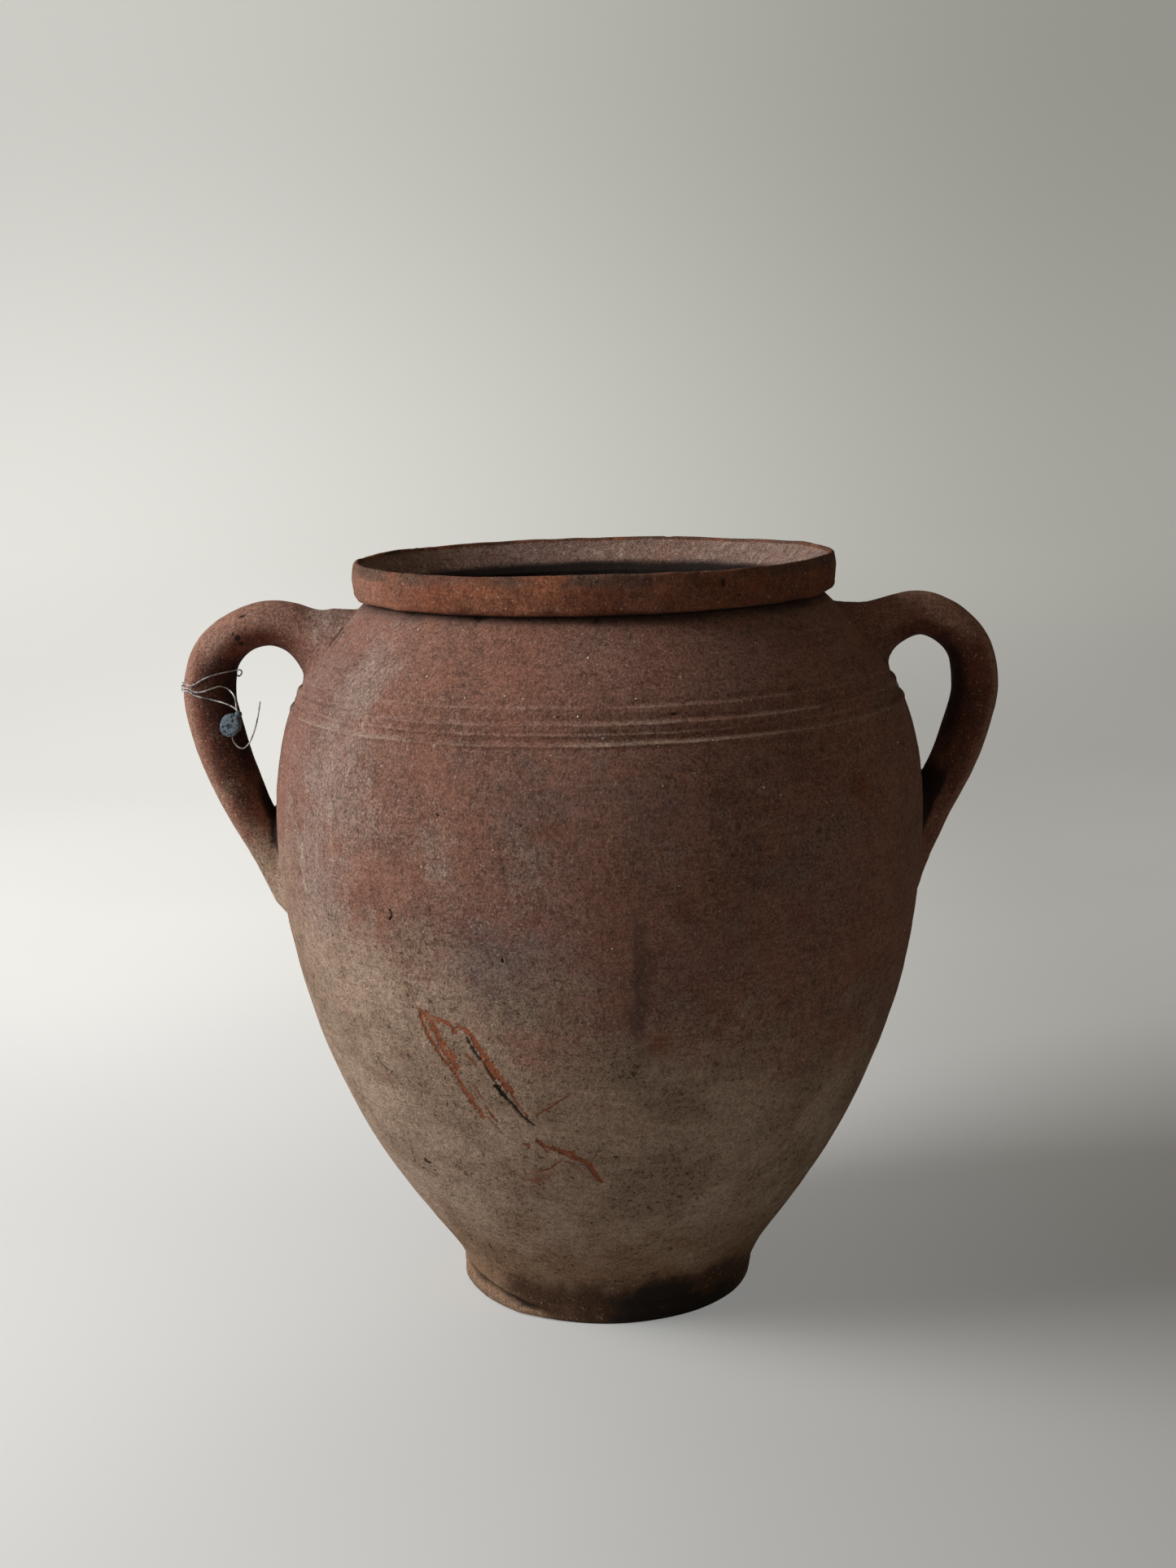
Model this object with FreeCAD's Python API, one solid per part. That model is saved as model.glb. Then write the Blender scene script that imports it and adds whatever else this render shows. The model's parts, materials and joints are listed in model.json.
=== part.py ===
import FreeCAD, Part
import math
import os

# A two-handled terracotta storage jar, standing on its foot with its mouth up.
# Millimetres. The origin is the centre of the foot on the ground, +Z is up,
# -X is the side of the handle that carries the wire and the seal, -Y is the front.

Vec = FreeCAD.Vector
up = Vec(0, 0, 1)
front = Vec(0, -1, 0)
quarter = math.pi / 2
full_turn = 360.0

# Foot and floor
foot_radius = 74.8
foot_height = 12.0
foot_ledge = 1.4
foot_waist_share = 0.55
foot_ledge_share = 0.8
floor_radius = 62.0
floor_edge = 1.5

# Thrown walls
belly_radius = 168.3
belly_height = 255.0
neck_height = 370.0
seam_drop = 58.0
wall_thick = 8.5
wall_start = 15.0

# Throat, neck and collar. The throat runs straight from its land below the neck to its
# rise above it, where the collar's funnel starts.
throat_radius = 103.0
throat_land = 8.0
throat_rise = 3.0
neck_thick = 14.0
collar_height = 20.0
collar_overhang = 6.5
collar_chamfer = 1.4
collar_underside = 2.8
lip_width = 4.0
lip_round = 1.6

# Incised bands above the seam: each is a shallow groove with a steep lower side
band_rises = (4.4, 13.1)
band_width = 6.2
band_depth = 1.3
band_steep_share = 0.2

# Handles. The stand-off is from the widest belly to the handle's middle line
# where it stands out furthest, the drop is from the neck to the middle line's top,
# and the run is from the belly's widest height down to the lower end.
left_stand_off = 33.1
right_stand_off = 29.1
handle_drop = 11.3
right_handle_sag = 2.9
handle_run = 62.0
handle_thick = 27.2
right_handle_thick = 24.2
handle_width = 30.5

# Wire winding, seal and tail. The winding lies below the handle's top, and the seal
# hangs by a bead that turns under the wire's end.
wire_dia = 0.8
winding_drop = 34.7
winding_span = 19.4
winding_lift = 1.15
bead_dia = 3.8
bead_lift = 11.0
bead_gap = 0.35
seal_dia = 12.0
seal_thick = 4.2
seal_edge = 0.7
bead_sink_share = 0.3
seal_tilt_angle = 18.0
seal_lean_angle = 38.0
tail_reach = 14.8
tail_rise = 11.4
tail_drop = 11.9

# One overrun for every cutting tool, the plugs that part the roots from the handles
# as a share of the handle's width, and how finely places are found
overrun = 3.0
root_block_share = 1.5
fine_share = 1e-9
straight_share = 1e-6

# Outline of the walls. Rows are shares of the way up and shares of the way out.
lower_outline_shares = (
    (0.0, 0.0), (0.0535, 0.069), (0.1152, 0.183), (0.1975, 0.336), (0.3004, 0.508),
    (0.4239, 0.668), (0.5473, 0.796), (0.6708, 0.891), (0.7942, 0.955), (0.9177, 0.991),
    (1.0, 1.0),
)
upper_outline_shares = (
    (0.18, 0.985), (0.35, 0.925), (0.496, 0.834), (0.617, 0.712), (0.739, 0.529),
    (0.87, 0.277), (1.0, 0.0),
)
inner_wall_shares = (0.156, 0.312, 0.468, 0.624, 0.78)

# Rows of a handle and its roots, from inside the shoulder round to inside the belly: share
# of the reach, share of the rise, share of the thickness, share of the width. The handle
# is pulled between two roots of clay that are pressed on the wall, and its first and last
# rows are where the roots end.
left_upper_root_shares = (
    (0.560, 0.870, 1.95, 1.75), (0.630, 0.900, 1.75, 1.60), (0.691, 0.930, 1.50, 1.40),
    (0.742, 0.962, 1.04, 1.12),
)
left_handle_shares = (
    (0.788, 0.990, 0.905, 0.98), (0.840, 1.000, 0.855, 0.94), (0.899, 0.983, 0.825, 0.94),
    (0.946, 0.947, 0.860, 0.95), (0.983, 0.889, 0.930, 0.97), (0.9975, 0.823, 0.990, 1.00),
    (1.000, 0.757, 1.000, 1.00), (0.986, 0.669, 1.010, 1.00), (0.965, 0.577, 0.985, 0.98),
    (0.937, 0.481, 0.930, 0.96), (0.898, 0.373, 0.850, 0.95),
)
left_lower_root_shares = (
    (0.851, 0.265, 0.830, 1.04), (0.810, 0.152, 0.790, 1.20), (0.774, 0.040, 0.740, 1.30),
)
right_upper_root_shares = (
    (0.560, 0.868, 2.15, 1.75), (0.630, 0.897, 1.95, 1.60), (0.697, 0.928, 1.66, 1.40),
    (0.750, 0.962, 1.16, 1.12),
)
right_handle_shares = (
    (0.800, 0.988, 1.00, 0.98), (0.855, 1.000, 0.945, 0.94), (0.914, 0.976, 0.925, 0.94),
    (0.962, 0.928, 0.930, 0.95), (0.989, 0.873, 0.955, 0.97), (0.999, 0.807, 0.985, 1.00),
    (1.000, 0.750, 0.985, 1.00), (0.984, 0.662, 1.000, 1.00), (0.957, 0.563, 1.000, 0.98),
    (0.918, 0.459, 0.960, 0.96), (0.877, 0.358, 0.900, 0.95),
)
right_lower_root_shares = (
    (0.838, 0.257, 0.880, 1.04), (0.802, 0.152, 0.840, 1.20), (0.772, 0.040, 0.780, 1.30),
)

# Winding rows, a quarter turn apart from the front on: share of the span above the
# winding's height, and share of the winding's lift over the handle. It passes over
# itself at the outermost side and comes off at both ends.
winding_rows_shares = (
    (0.062, 1.00), (0.119, 1.00), (0.36, 1.00), (0.52, 1.00), (0.43, 1.00),
    (0.186, 2.30), (-0.155, 1.30), (-0.45, 1.10), (-0.186, 1.10), (-0.020, 1.60),
)
winding_end_share = 0.8
way_step_share = 0.05
bead_turn_share = 1.462
bead_height_share = -0.686
wire_end_share = 0.27

# Tail rows: shares of its reach, and of its rise or its drop from the seal's middle
tail_rows_shares = (
    (0.01, -0.36), (0.24, -0.93), (0.57, -0.92), (0.777, -0.41), (1.0, 1.0),
)


def polar(radius, height):
    return Vec(radius, 0, height)


def revolve(edges):
    face = Part.Face(Part.Wire(edges))
    return face.revolve(Vec(0, 0, 0), up, full_turn)


def polygon(points):
    return [Part.LineSegment(a, b).toShape() for a, b in zip(points, points[1:] + points[:1])]


def spline(points):
    curve = Part.BSplineCurve()
    curve.interpolate(points)
    return curve


def between(low, high, share):
    return low + (high - low) * share


# Sizes that follow from the ones above
neck_radius = throat_radius + neck_thick
collar_radius = neck_radius + collar_overhang
jar_height = neck_height + collar_height
seam_height = neck_height - seam_drop
handle_top = neck_height - handle_drop
winding_height = handle_top - winding_drop
wall_start_radius = floor_radius + wall_start


def outline_points():
    lower = [polar(between(wall_start_radius, belly_radius, out),
                   between(foot_height, belly_height, rise))
             for rise, out in lower_outline_shares]
    upper = [polar(between(neck_radius, belly_radius, out),
                   between(belly_height, neck_height, rise))
             for rise, out in upper_outline_shares]
    return lower + upper


outline = spline(outline_points())


def outline_at(height):
    # the outline only ever climbs, so halving finds the place at a height
    low, high = outline.FirstParameter, outline.LastParameter
    while high - low > outline.LastParameter * fine_share:
        middle = (low + high) / 2
        if outline.value(middle).z < height:
            low = middle
        else:
            high = middle
    return low


def wall_radius(height):
    return outline.value(outline_at(height)).x


def inner_outline():
    # the inside follows the outside at the wall's thickness, thicker at the foot
    heights = [between(foot_height, belly_height, rise) for rise, out in lower_outline_shares[1:]]
    heights += [between(belly_height, neck_height, rise) for rise in inner_wall_shares]
    points = [polar(floor_radius, foot_height)]
    for height in heights:
        place = outline_at(height)
        along = outline.tangent(place)[0]
        inward = Vec(-along.z, 0, along.x)
        points.append(outline.value(place) + inward * wall_thick)
    return points


def throat_funnel(height):
    # radius of the funnel between the throat and the lip
    low = neck_height + throat_rise
    share = (height - low) / (jar_height - low)
    return between(throat_radius, collar_radius - lip_width, share)


def make_wall():
    inner = inner_outline()
    neck_inner = polar(throat_radius, neck_height)
    throat_foot = neck_inner - up * throat_land
    neck_outer = polar(neck_radius, neck_height)
    edges = [outline.toShape()]
    corners = [neck_outer, neck_inner, throat_foot, inner[-1]]
    edges += [Part.LineSegment(a, b).toShape() for a, b in zip(corners, corners[1:])]
    edges += [spline(inner[::-1]).toShape()]
    edges += [Part.LineSegment(inner[0], polar(wall_start_radius, foot_height)).toShape()]
    return revolve(edges)


def slab(low, high):
    width = belly_radius + left_stand_off
    return Part.makeCylinder(width, high - low, Vec(0, 0, low))


def make_envelope():
    # everything inside the outer face of the walls, as one plug
    edges = [outline.toShape()]
    corners = [polar(neck_radius, neck_height), Vec(0, 0, neck_height),
               Vec(0, 0, foot_height), polar(wall_start_radius, foot_height)]
    edges += [Part.LineSegment(a, b).toShape() for a, b in zip(corners, corners[1:])]
    return revolve(edges)


def make_base_disc():
    disc = Part.makeCylinder(floor_radius, foot_height)
    rim = [edge for edge in disc.Edges
           if edge.Vertexes[0].Z < floor_edge and len(edge.Vertexes) == 1]
    return disc.makeChamfer(floor_edge, rim)


def make_foot_ring():
    ledge = wall_start_radius + foot_ledge
    points = [polar(floor_radius, 0), polar(foot_radius, 0),
              polar(between(foot_radius, ledge, foot_waist_share), foot_height / 2),
              polar(ledge, foot_height * foot_ledge_share), polar(ledge, foot_height),
              polar(floor_radius, foot_height)]
    return revolve(polygon(points))


def band_cutter(height):
    # steep lower side, long gentle upper side
    bottom = height + band_width * band_steep_share
    top = height + band_width
    points = [polar(wall_radius(height), height),
              polar(wall_radius(bottom) - band_depth, bottom),
              polar(wall_radius(top), top),
              polar(wall_radius(top) + overrun, top),
              polar(wall_radius(height) + overrun, height)]
    return revolve(polygon(points))


def make_rim_collar():
    points = [polar(throat_radius, neck_height + throat_rise),
              polar(throat_radius, neck_height),
              polar(neck_radius, neck_height),
              polar(collar_radius - collar_chamfer, neck_height + collar_underside),
              polar(collar_radius, neck_height + collar_underside * 2),
              polar(collar_radius, jar_height - lip_round),
              polar(collar_radius - lip_round, jar_height),
              polar(collar_radius - lip_width + lip_round / 2, jar_height),
              polar(throat_funnel(jar_height - lip_round), jar_height - lip_round)]
    return revolve(polygon(points))


def strap_rows(side, stand_off, top, thick, shares):
    # the middle line and, at each row, the section's place, turn and half sizes
    reach = belly_radius + stand_off
    foot = belly_height - handle_run
    centres = [Vec(side * reach * out, 0, between(foot, top, rise))
               for out, rise, thickness, width in shares]
    middle_line = spline(centres)
    rows = []
    for centre, (out, rise, thickness, width) in zip(centres, shares):
        along = middle_line.tangent(middle_line.parameter(centre))[0]
        rows.append((centre, along, thickness * thick / 2, width * handle_width / 2))
    return middle_line, rows


def oval(centre, along, half_thick, half_width):
    # a unit circle set square to the middle line and stretched to the section
    across = along.cross(front)
    place = FreeCAD.Matrix(across.x * half_thick, front.x * half_width, along.x, centre.x,
                           across.y * half_thick, front.y * half_width, along.y, centre.y,
                           across.z * half_thick, front.z * half_width, along.z, centre.z,
                           0, 0, 0, 1)
    ring = Part.Circle(Vec(0, 0, 0), up, 1).toShape()
    return Part.Wire(ring.transformGeometry(place))


def make_strap(rows):
    return Part.makeLoft([oval(*row) for row in rows], True, False)


def root_block(row, way):
    # a plug from a square cut across the strap, on the side of the wall
    return Part.makeCylinder(handle_width * root_block_share, belly_radius, row[0],
                             row[1] * way)


def biarc(start, start_way, end, end_way):
    # two arcs that meet smoothly and leave and arrive the given ways
    chord = end - start
    ways = start_way + end_way
    a = 2 * (1 - start_way.dot(end_way))
    b = 2 * chord.dot(ways)
    c = -chord.dot(chord)
    if a < fine_share:
        reach = -c / b
    else:
        reach = (-b + math.sqrt(b * b - 4 * a * c)) / (2 * a)
    meet = (start + start_way * reach + end - end_way * reach) * 0.5
    return arc_from(start, start_way, meet), arc_from(end, end_way * -1, meet, True)


def arc_from(start, way, end, backwards=False):
    # the arc that leaves start along way and reaches end, or a straight run
    chord = end - start
    side = chord - way * chord.dot(way)
    if side.Length < chord.Length * straight_share:
        ends = (end, start) if backwards else (start, end)
        return Part.LineSegment(*ends)
    side.normalize()
    radius = chord.dot(chord) / (2 * chord.dot(side))
    centre = start + side * radius
    middle = (start + end) * 0.5 - centre
    middle.normalize()
    if chord.dot(way) < 0:
        middle = middle * -1
    crown = centre + middle * radius
    ends = (end, crown, start) if backwards else (start, crown, end)
    return Part.Arc(*ends)


def smooth_ways(points):
    # at each point the wire heads from the one before to the one after
    before = points[:1] + points[:-1]
    after = points[1:] + points[-1:]
    return [(b - a).normalize() for a, b in zip(before, after)]


def make_tube(points, ways):
    # a wire of round section along biarcs, as one unbroken tube
    curves = []
    for index in range(len(points) - 1):
        curves += biarc(points[index], ways[index], points[index + 1], ways[index + 1])
    path = Part.Wire([curve.toShape() for curve in curves])
    ring = Part.Wire(Part.Circle(points[0], ways[0], wire_dia / 2).toShape())
    tube = path.makePipeShell([ring], True, False)
    radii = [edge.Curve.Radius for edge in path.Edges if hasattr(edge.Curve, "Radius")]
    return tube, path, radii


def section_near(line, rows, height):
    # the handle's section at a height on its outward run, between two rows
    low_row = next(index for index in range(len(rows) - 1)
                   if rows[index][0].z >= height > rows[index + 1][0].z)
    above, below = rows[low_row], rows[low_row + 1]
    start, end = line.parameter(above[0]), line.parameter(below[0])
    while end - start > line.LastParameter * fine_share:
        middle = (start + end) / 2
        if line.value(middle).z > height:
            start = middle
        else:
            end = middle
    share = (above[0].z - height) / (above[0].z - below[0].z)
    return (line.value(start), line.tangent(start)[0],
            between(above[2], below[2], share), between(above[3], below[3], share))


def round_handle(line, rows, turn, height, lift):
    # a point a little way off the handle's face; turn 0 is the outermost side
    # and 1 is the front, in quarter turns
    centre, along, half_thick, half_width = section_near(line, rows, height)
    outward = along.cross(front) * -1
    if outward.x > 0:
        outward = outward * -1
    angle = turn * quarter
    return (centre + outward * (math.cos(angle) * (half_thick + lift))
            + front * (math.sin(angle) * (half_width + lift)))


def winding_route(line, rows):
    # each row is a quarter turn on from the last, twice round and more; the wire
    # heads along the handle's face there, and up or down as its neighbours lie
    last = len(winding_rows_shares) - 1
    points, ways = [], []
    for index, (rise, lift) in enumerate(winding_rows_shares):
        turn = 2 - last - winding_end_share if index == last else 1 - index
        height = winding_height + rise * winding_span
        here = [round_handle(line, rows, turn + step, height, lift * winding_lift)
                for step in (way_step_share, 0, -way_step_share)]
        before = winding_rows_shares[max(index - 1, 0)][0]
        after = winding_rows_shares[min(index + 1, last)][0]
        climb = (after - before) * winding_span * way_step_share
        points.append(here[1])
        ways.append((here[2] - here[0] + up * climb).normalize())
    return points, ways


def make_seal(bead, side_way, lug_way):
    # an oval lead, pressed flat, with a bead at its upper edge
    face_way = side_way.cross(up)
    middle = bead - lug_way * (seal_dia / 2 + bead_dia * bead_sink_share)
    disc = Part.makeCylinder(seal_dia / 2, seal_thick, middle - face_way * (seal_thick / 2),
                             face_way)
    disc = disc.makeChamfer(seal_edge, [edge for edge in disc.Edges
                                             if len(edge.Vertexes) == 1])
    return disc.fuse(Part.makeSphere(bead_dia / 2, bead)).removeSplitter(), middle


def make_tail(middle, side_way, seal):
    points = []
    for out, rise in tail_rows_shares:
        height = rise * (tail_rise if rise > 0 else tail_drop)
        points.append(middle + side_way * (out * tail_reach) + up * height)
    tube, path, radii = make_tube(points, smooth_ways(points))
    return tube.cut(seal), radii


def arch_centre(line, rows):
    # the middle of the circle that the handle's arch follows under the winding
    places = [section_near(line, rows, winding_height + share * winding_span)[0]
              for share in (winding_rows_shares[3][0], 0, winding_rows_shares[7][0])]
    circle = Part.Arc(*places).toShape().Curve
    return circle.Center, circle.Radius


def self_gap(path):
    # least gap between stretches of the wire that aren't neighbours along it
    count = int(path.Length / (wire_dia / 4))
    points = path.discretize(count)
    apart = int(3 * wire_dia / (path.Length / count))
    least = path.Length
    for index, point in enumerate(points):
        for other in points[index + apart:]:
            least = min(least, point.distanceToPoint(other))
    return least - wire_dia


def save(name, shape):
    solids = shape.Solids
    kept = solids[0] if len(solids) == 1 else Part.makeCompound(solids)
    kept.exportStep("parts/" + name + ".step")
    box = kept.BoundBox
    print(name, len(solids), "solid", round(kept.Volume / 1000, 3), "cm3",
          "x %.1f %.1f y %.1f %.1f z %.1f %.1f" % (box.XMin, box.XMax, box.YMin, box.YMax,
                                                 box.ZMin, box.ZMax), kept.isValid())
    return kept


def save_strap(side_name, rows, upper_shares, lower_shares):
    # a handle and its two roots, which meet on shared sections and end on the wall; each
    # is lofted two rows past the section that it is then cut at
    first, last = len(upper_shares), len(rows) - len(lower_shares) - 1
    upper_block, lower_block = root_block(rows[first], -1), root_block(rows[last], 1)
    upper_strap, lower_strap = make_strap(rows[:first + 3]), make_strap(rows[last - 2:])
    handle_strap = make_strap(rows[first - 2:last + 3])
    save(side_name + "_upper_root", upper_strap.common(upper_block).cut(envelope))
    save(side_name + "_lower_root", lower_strap.common(lower_block).cut(envelope))
    handle = handle_strap.cut(upper_block).cut(lower_block).cut(envelope)
    return save(side_name + "_handle", handle)


os.makedirs("parts", exist_ok=True)

# Walls, foot and collar
wall = make_wall()
envelope = make_envelope()
belly_wall = wall.common(slab(foot_height, seam_height))
shoulder_wall = wall.common(slab(seam_height, neck_height))
for band_rise in band_rises:
    shoulder_wall = shoulder_wall.cut(band_cutter(seam_height + band_rise))
save("base_disc", make_base_disc())
save("foot_ring", make_foot_ring())
save("belly_wall", belly_wall)
save("shoulder_wall", shoulder_wall)
save("rim_collar", make_rim_collar())

# Handles and their roots
left_line, left_rows = strap_rows(
    -1, left_stand_off, handle_top, handle_thick,
    left_upper_root_shares + left_handle_shares + left_lower_root_shares)
right_line, right_rows = strap_rows(
    1, right_stand_off, handle_top - right_handle_sag, right_handle_thick,
    right_upper_root_shares + right_handle_shares + right_lower_root_shares)
left_handle = save_strap("left", left_rows, left_upper_root_shares, left_lower_root_shares)
save_strap("right", right_rows, right_upper_root_shares, right_lower_root_shares)

# Wire winding, and the seal that hangs from its end
bead_height = winding_height + bead_height_share * winding_span
bead = round_handle(left_line, left_rows, bead_turn_share, bead_height, bead_lift)
tilt, lean = math.radians(seal_tilt_angle), math.radians(seal_lean_angle)
side_way = Vec(math.cos(tilt), -math.sin(tilt), 0)
lug_way = side_way * math.sin(lean) + up * math.cos(lean)
wire_way = (up - side_way * wire_end_share).normalize()
wire_end = bead + wire_way * (bead_dia / 2 + bead_gap)
route_points, route_ways = winding_route(left_line, left_rows)
winding, winding_path, winding_radii = make_tube([wire_end] + route_points,
                                                 [wire_way] + route_ways)
seal, seal_middle = make_seal(bead, side_way, lug_way)
tail, tail_radii = make_tail(seal_middle, side_way, seal)
save("seal_wire_winding", winding)
save("lead_seal", seal)
save("seal_wire_tail", tail)

print("winding gap to itself", round(self_gap(winding_path), 3),
      "gap to handle", round(winding.distToShape(left_handle)[0], 3),
      "gap to seal", round(winding.distToShape(seal)[0], 3))
print("seal gap to handle", round(seal.distToShape(left_handle)[0], 3),
      "tail gap to handle", round(tail.distToShape(left_handle)[0], 3))
print("tightest bends", round(min(winding_radii), 2), round(min(tail_radii), 2),
      "volume share", round(winding.Volume / (winding_path.Length * math.pi
                                              * wire_dia * wire_dia / 4), 4))
print("bead", [round(value, 2) for value in bead], "seal", [round(v, 2) for v in seal_middle])
centre, radius = arch_centre(left_line, left_rows)
print("shift centre", [round(value, 2) for value in centre], "radius", round(radius, 2))
print("swing axis", [round(-value, 4) for value in side_way])
print("jar height", jar_height, "collar radius", collar_radius)
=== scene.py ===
import bmesh
import bpy
import json
import math
import numpy as np
from mathutils import Matrix, Vector, noise


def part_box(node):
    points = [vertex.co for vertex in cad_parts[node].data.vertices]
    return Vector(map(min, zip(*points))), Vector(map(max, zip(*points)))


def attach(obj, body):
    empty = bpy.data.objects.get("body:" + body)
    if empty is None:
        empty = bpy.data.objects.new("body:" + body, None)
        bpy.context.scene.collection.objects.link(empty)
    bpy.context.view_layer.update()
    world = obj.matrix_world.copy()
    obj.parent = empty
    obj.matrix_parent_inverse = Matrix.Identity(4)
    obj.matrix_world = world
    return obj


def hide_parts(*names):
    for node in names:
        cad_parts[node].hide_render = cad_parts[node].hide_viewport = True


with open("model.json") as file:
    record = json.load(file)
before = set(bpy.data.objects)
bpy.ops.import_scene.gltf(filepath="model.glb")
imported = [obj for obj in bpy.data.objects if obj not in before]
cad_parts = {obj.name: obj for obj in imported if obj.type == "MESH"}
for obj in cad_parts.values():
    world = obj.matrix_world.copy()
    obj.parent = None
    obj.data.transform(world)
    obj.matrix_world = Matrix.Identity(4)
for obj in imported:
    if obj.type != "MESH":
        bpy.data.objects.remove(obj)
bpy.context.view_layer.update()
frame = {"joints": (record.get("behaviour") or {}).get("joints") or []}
mm = 0.001

# the camera stands where the photograph was taken from, a little above the jar
cameraLook = {
    "place": (-0.0056, -1.125, 0.4799),
    "downDegrees": 10.59,
    "rollDegrees": -1.41,
    "lens": 49.918,
    "frameHeight": 36.0,
    "focalPixels": 2672.0,
    "middlePixel": (722.5, 963.5),
    "reach": (0.85, 1.3),  # how near and how far the jar lies along a view ray
    "rayStep": 0.25 * mm,
}


def makeCamera():
    # gives back how the camera is turned
    lens = bpy.data.cameras.new("camera")
    lens.lens = cameraLook["lens"]
    lens.sensor_fit = "VERTICAL"
    lens.sensor_height = cameraLook["frameHeight"]
    lens.clip_start, lens.clip_end = 0.01, 30
    camera = bpy.data.objects.new("camera", lens)
    tip = Matrix.Rotation(math.radians(90 - cameraLook["downDegrees"]), 4, "X")
    roll = Matrix.Rotation(math.radians(cameraLook["rollDegrees"]), 4, "Z")
    camera.matrix_world = Matrix.Translation(cameraLook["place"]) @ tip @ roll
    bpy.context.collection.objects.link(camera)
    bpy.context.scene.camera = camera
    return (tip @ roll).to_3x3()


cameraTurn = makeCamera()
print("camera made")

# sizes of the jar, read from the frame
footLow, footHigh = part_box("foot_ring")
bellyLow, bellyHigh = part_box("belly_wall")
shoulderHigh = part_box("shoulder_wall")[1]
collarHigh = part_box("rim_collar")[1]

# outline of the jar: shares of the way up and of the way out, below and above the
# widest height, with the sizes that the frame doesn't tell
jarShape = {
    "bellyHeight": 0.255,
    "floorRadius": 0.062,
    "startRadius": 0.077,
    "neckRadius": 0.117,
    "throatRadius": 0.103,
    "throatHeight": 0.373,
    "throatLow": 0.362,
    "wallThick": 0.0085,
    "innerShare": 0.78,
    "lower": ((0.0, 0.0), (0.0535, 0.069), (0.1152, 0.183), (0.1975, 0.336),
              (0.3004, 0.508), (0.4239, 0.668), (0.5473, 0.796), (0.6708, 0.891),
              (0.7942, 0.955), (0.9177, 0.991), (1.0, 1.0)),
    "upper": ((0.18, 0.985), (0.35, 0.925), (0.496, 0.834), (0.617, 0.712),
              (0.739, 0.529), (0.87, 0.277), (1.0, 0.0)),
}
footHeight, seamHeight = bellyLow.z, bellyHigh.z
neckHeight, jarHeight = shoulderHigh.z, collarHigh.z
bellyRadius, collarRadius = bellyHigh.x, collarHigh.x


def mix(low, high, share):
    return low + (high - low) * share


def smoothRise(low, high, value):
    share = np.clip((value - low) / (high - low), 0, 1)
    return share * share * (3 - 2 * share)


def axisDistance(points):
    return np.hypot(points[..., 0], points[..., 1])


def turnDegrees(points):
    # degrees round the jar from +X
    return np.degrees(np.arctan2(points[:, 1], points[:, 0])) % 360


def pushOut(points, shift):
    # points moved straight away from the jar's axis
    moved = points.copy()
    moved[:, :2] *= (1 + shift / axisDistance(points))[:, None]
    return moved


def naturalCurve(places, values):
    # a smooth curve through the values, bent as little as it can be
    places, values = np.asarray(places, float), np.asarray(values, float)
    gaps, rises = np.diff(places), np.diff(values, axis=0)
    count = len(places)
    table = np.eye(count)
    right = np.zeros_like(values)
    for i in range(1, count - 1):
        table[i, i - 1:i + 2] = gaps[i - 1], 2 * (gaps[i - 1] + gaps[i]), gaps[i]
        right[i] = 6 * (rises[i] / gaps[i] - rises[i - 1] / gaps[i - 1])
    bends = np.linalg.solve(table, right)

    def at(where):
        where = np.asarray(where, float)
        i = np.clip(np.searchsorted(places, where) - 1, 0, count - 2)
        gap = gaps[i]
        ahead = (where - places[i]) / gap
        behind = 1 - ahead
        if values.ndim > 1:
            gap, ahead, behind = gap[..., None], ahead[..., None], behind[..., None]
        pull = (behind ** 3 - behind) * bends[i] + (ahead ** 3 - ahead) * bends[i + 1]
        return behind * values[i] + ahead * values[i + 1] + pull * gap * gap / 6

    return at


def outlineRows():
    rows = [(mix(footHeight, jarShape["bellyHeight"], rise),
             mix(jarShape["startRadius"], bellyRadius, out)) for rise, out in jarShape["lower"]]
    rows += [(mix(jarShape["bellyHeight"], neckHeight, rise),
              mix(jarShape["neckRadius"], bellyRadius, out)) for rise, out in jarShape["upper"]]
    return rows


outline = naturalCurve(*zip(*outlineRows()))


def wallRadius(height):
    return outline(np.clip(height, footHeight, neckHeight))


def wallSlope(height):
    step = 0.5 * mm
    return (wallRadius(height + step) - wallRadius(height - step)) / (2 * step)


def wallDepth(points):
    # how far points stand off the outer wall, and which way is straight out of it
    radius = axisDistance(points)
    slope = wallSlope(points[..., 2])
    steep = 1 / np.sqrt(1 + slope * slope)
    away = np.stack([points[..., 0] / radius * steep, points[..., 1] / radius * steep,
                     -slope * steep], -1)
    return (radius - wallRadius(points[..., 2])) * steep, away


def noiseAt(points, size, seed):
    shift = Vector((seed * 7.31, seed * 3.17, seed * 5.73))
    return np.array([noise.noise(Vector(p) / size + shift) for p in points])


def noiseSum(points, rows):
    # noises added up: each row is a height, a size and a seed
    return sum(height * noiseAt(points, size, seed) for height, size, seed in rows)


# unevenness of the hand-thrown clay: lobes, lumps and flat throwing ridges
handWork = {
    "lobe": 0.45 * mm,
    "lumps": ((0.7 * mm, 95 * mm, 1), (0.28 * mm, 24 * mm, 2), (0.07 * mm, 5 * mm, 3)),
    "ridges": ((0.16 * mm, 7 * mm, 4),), "ridgeSquash": (0.12, 0.12, 1.0),
}

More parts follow.
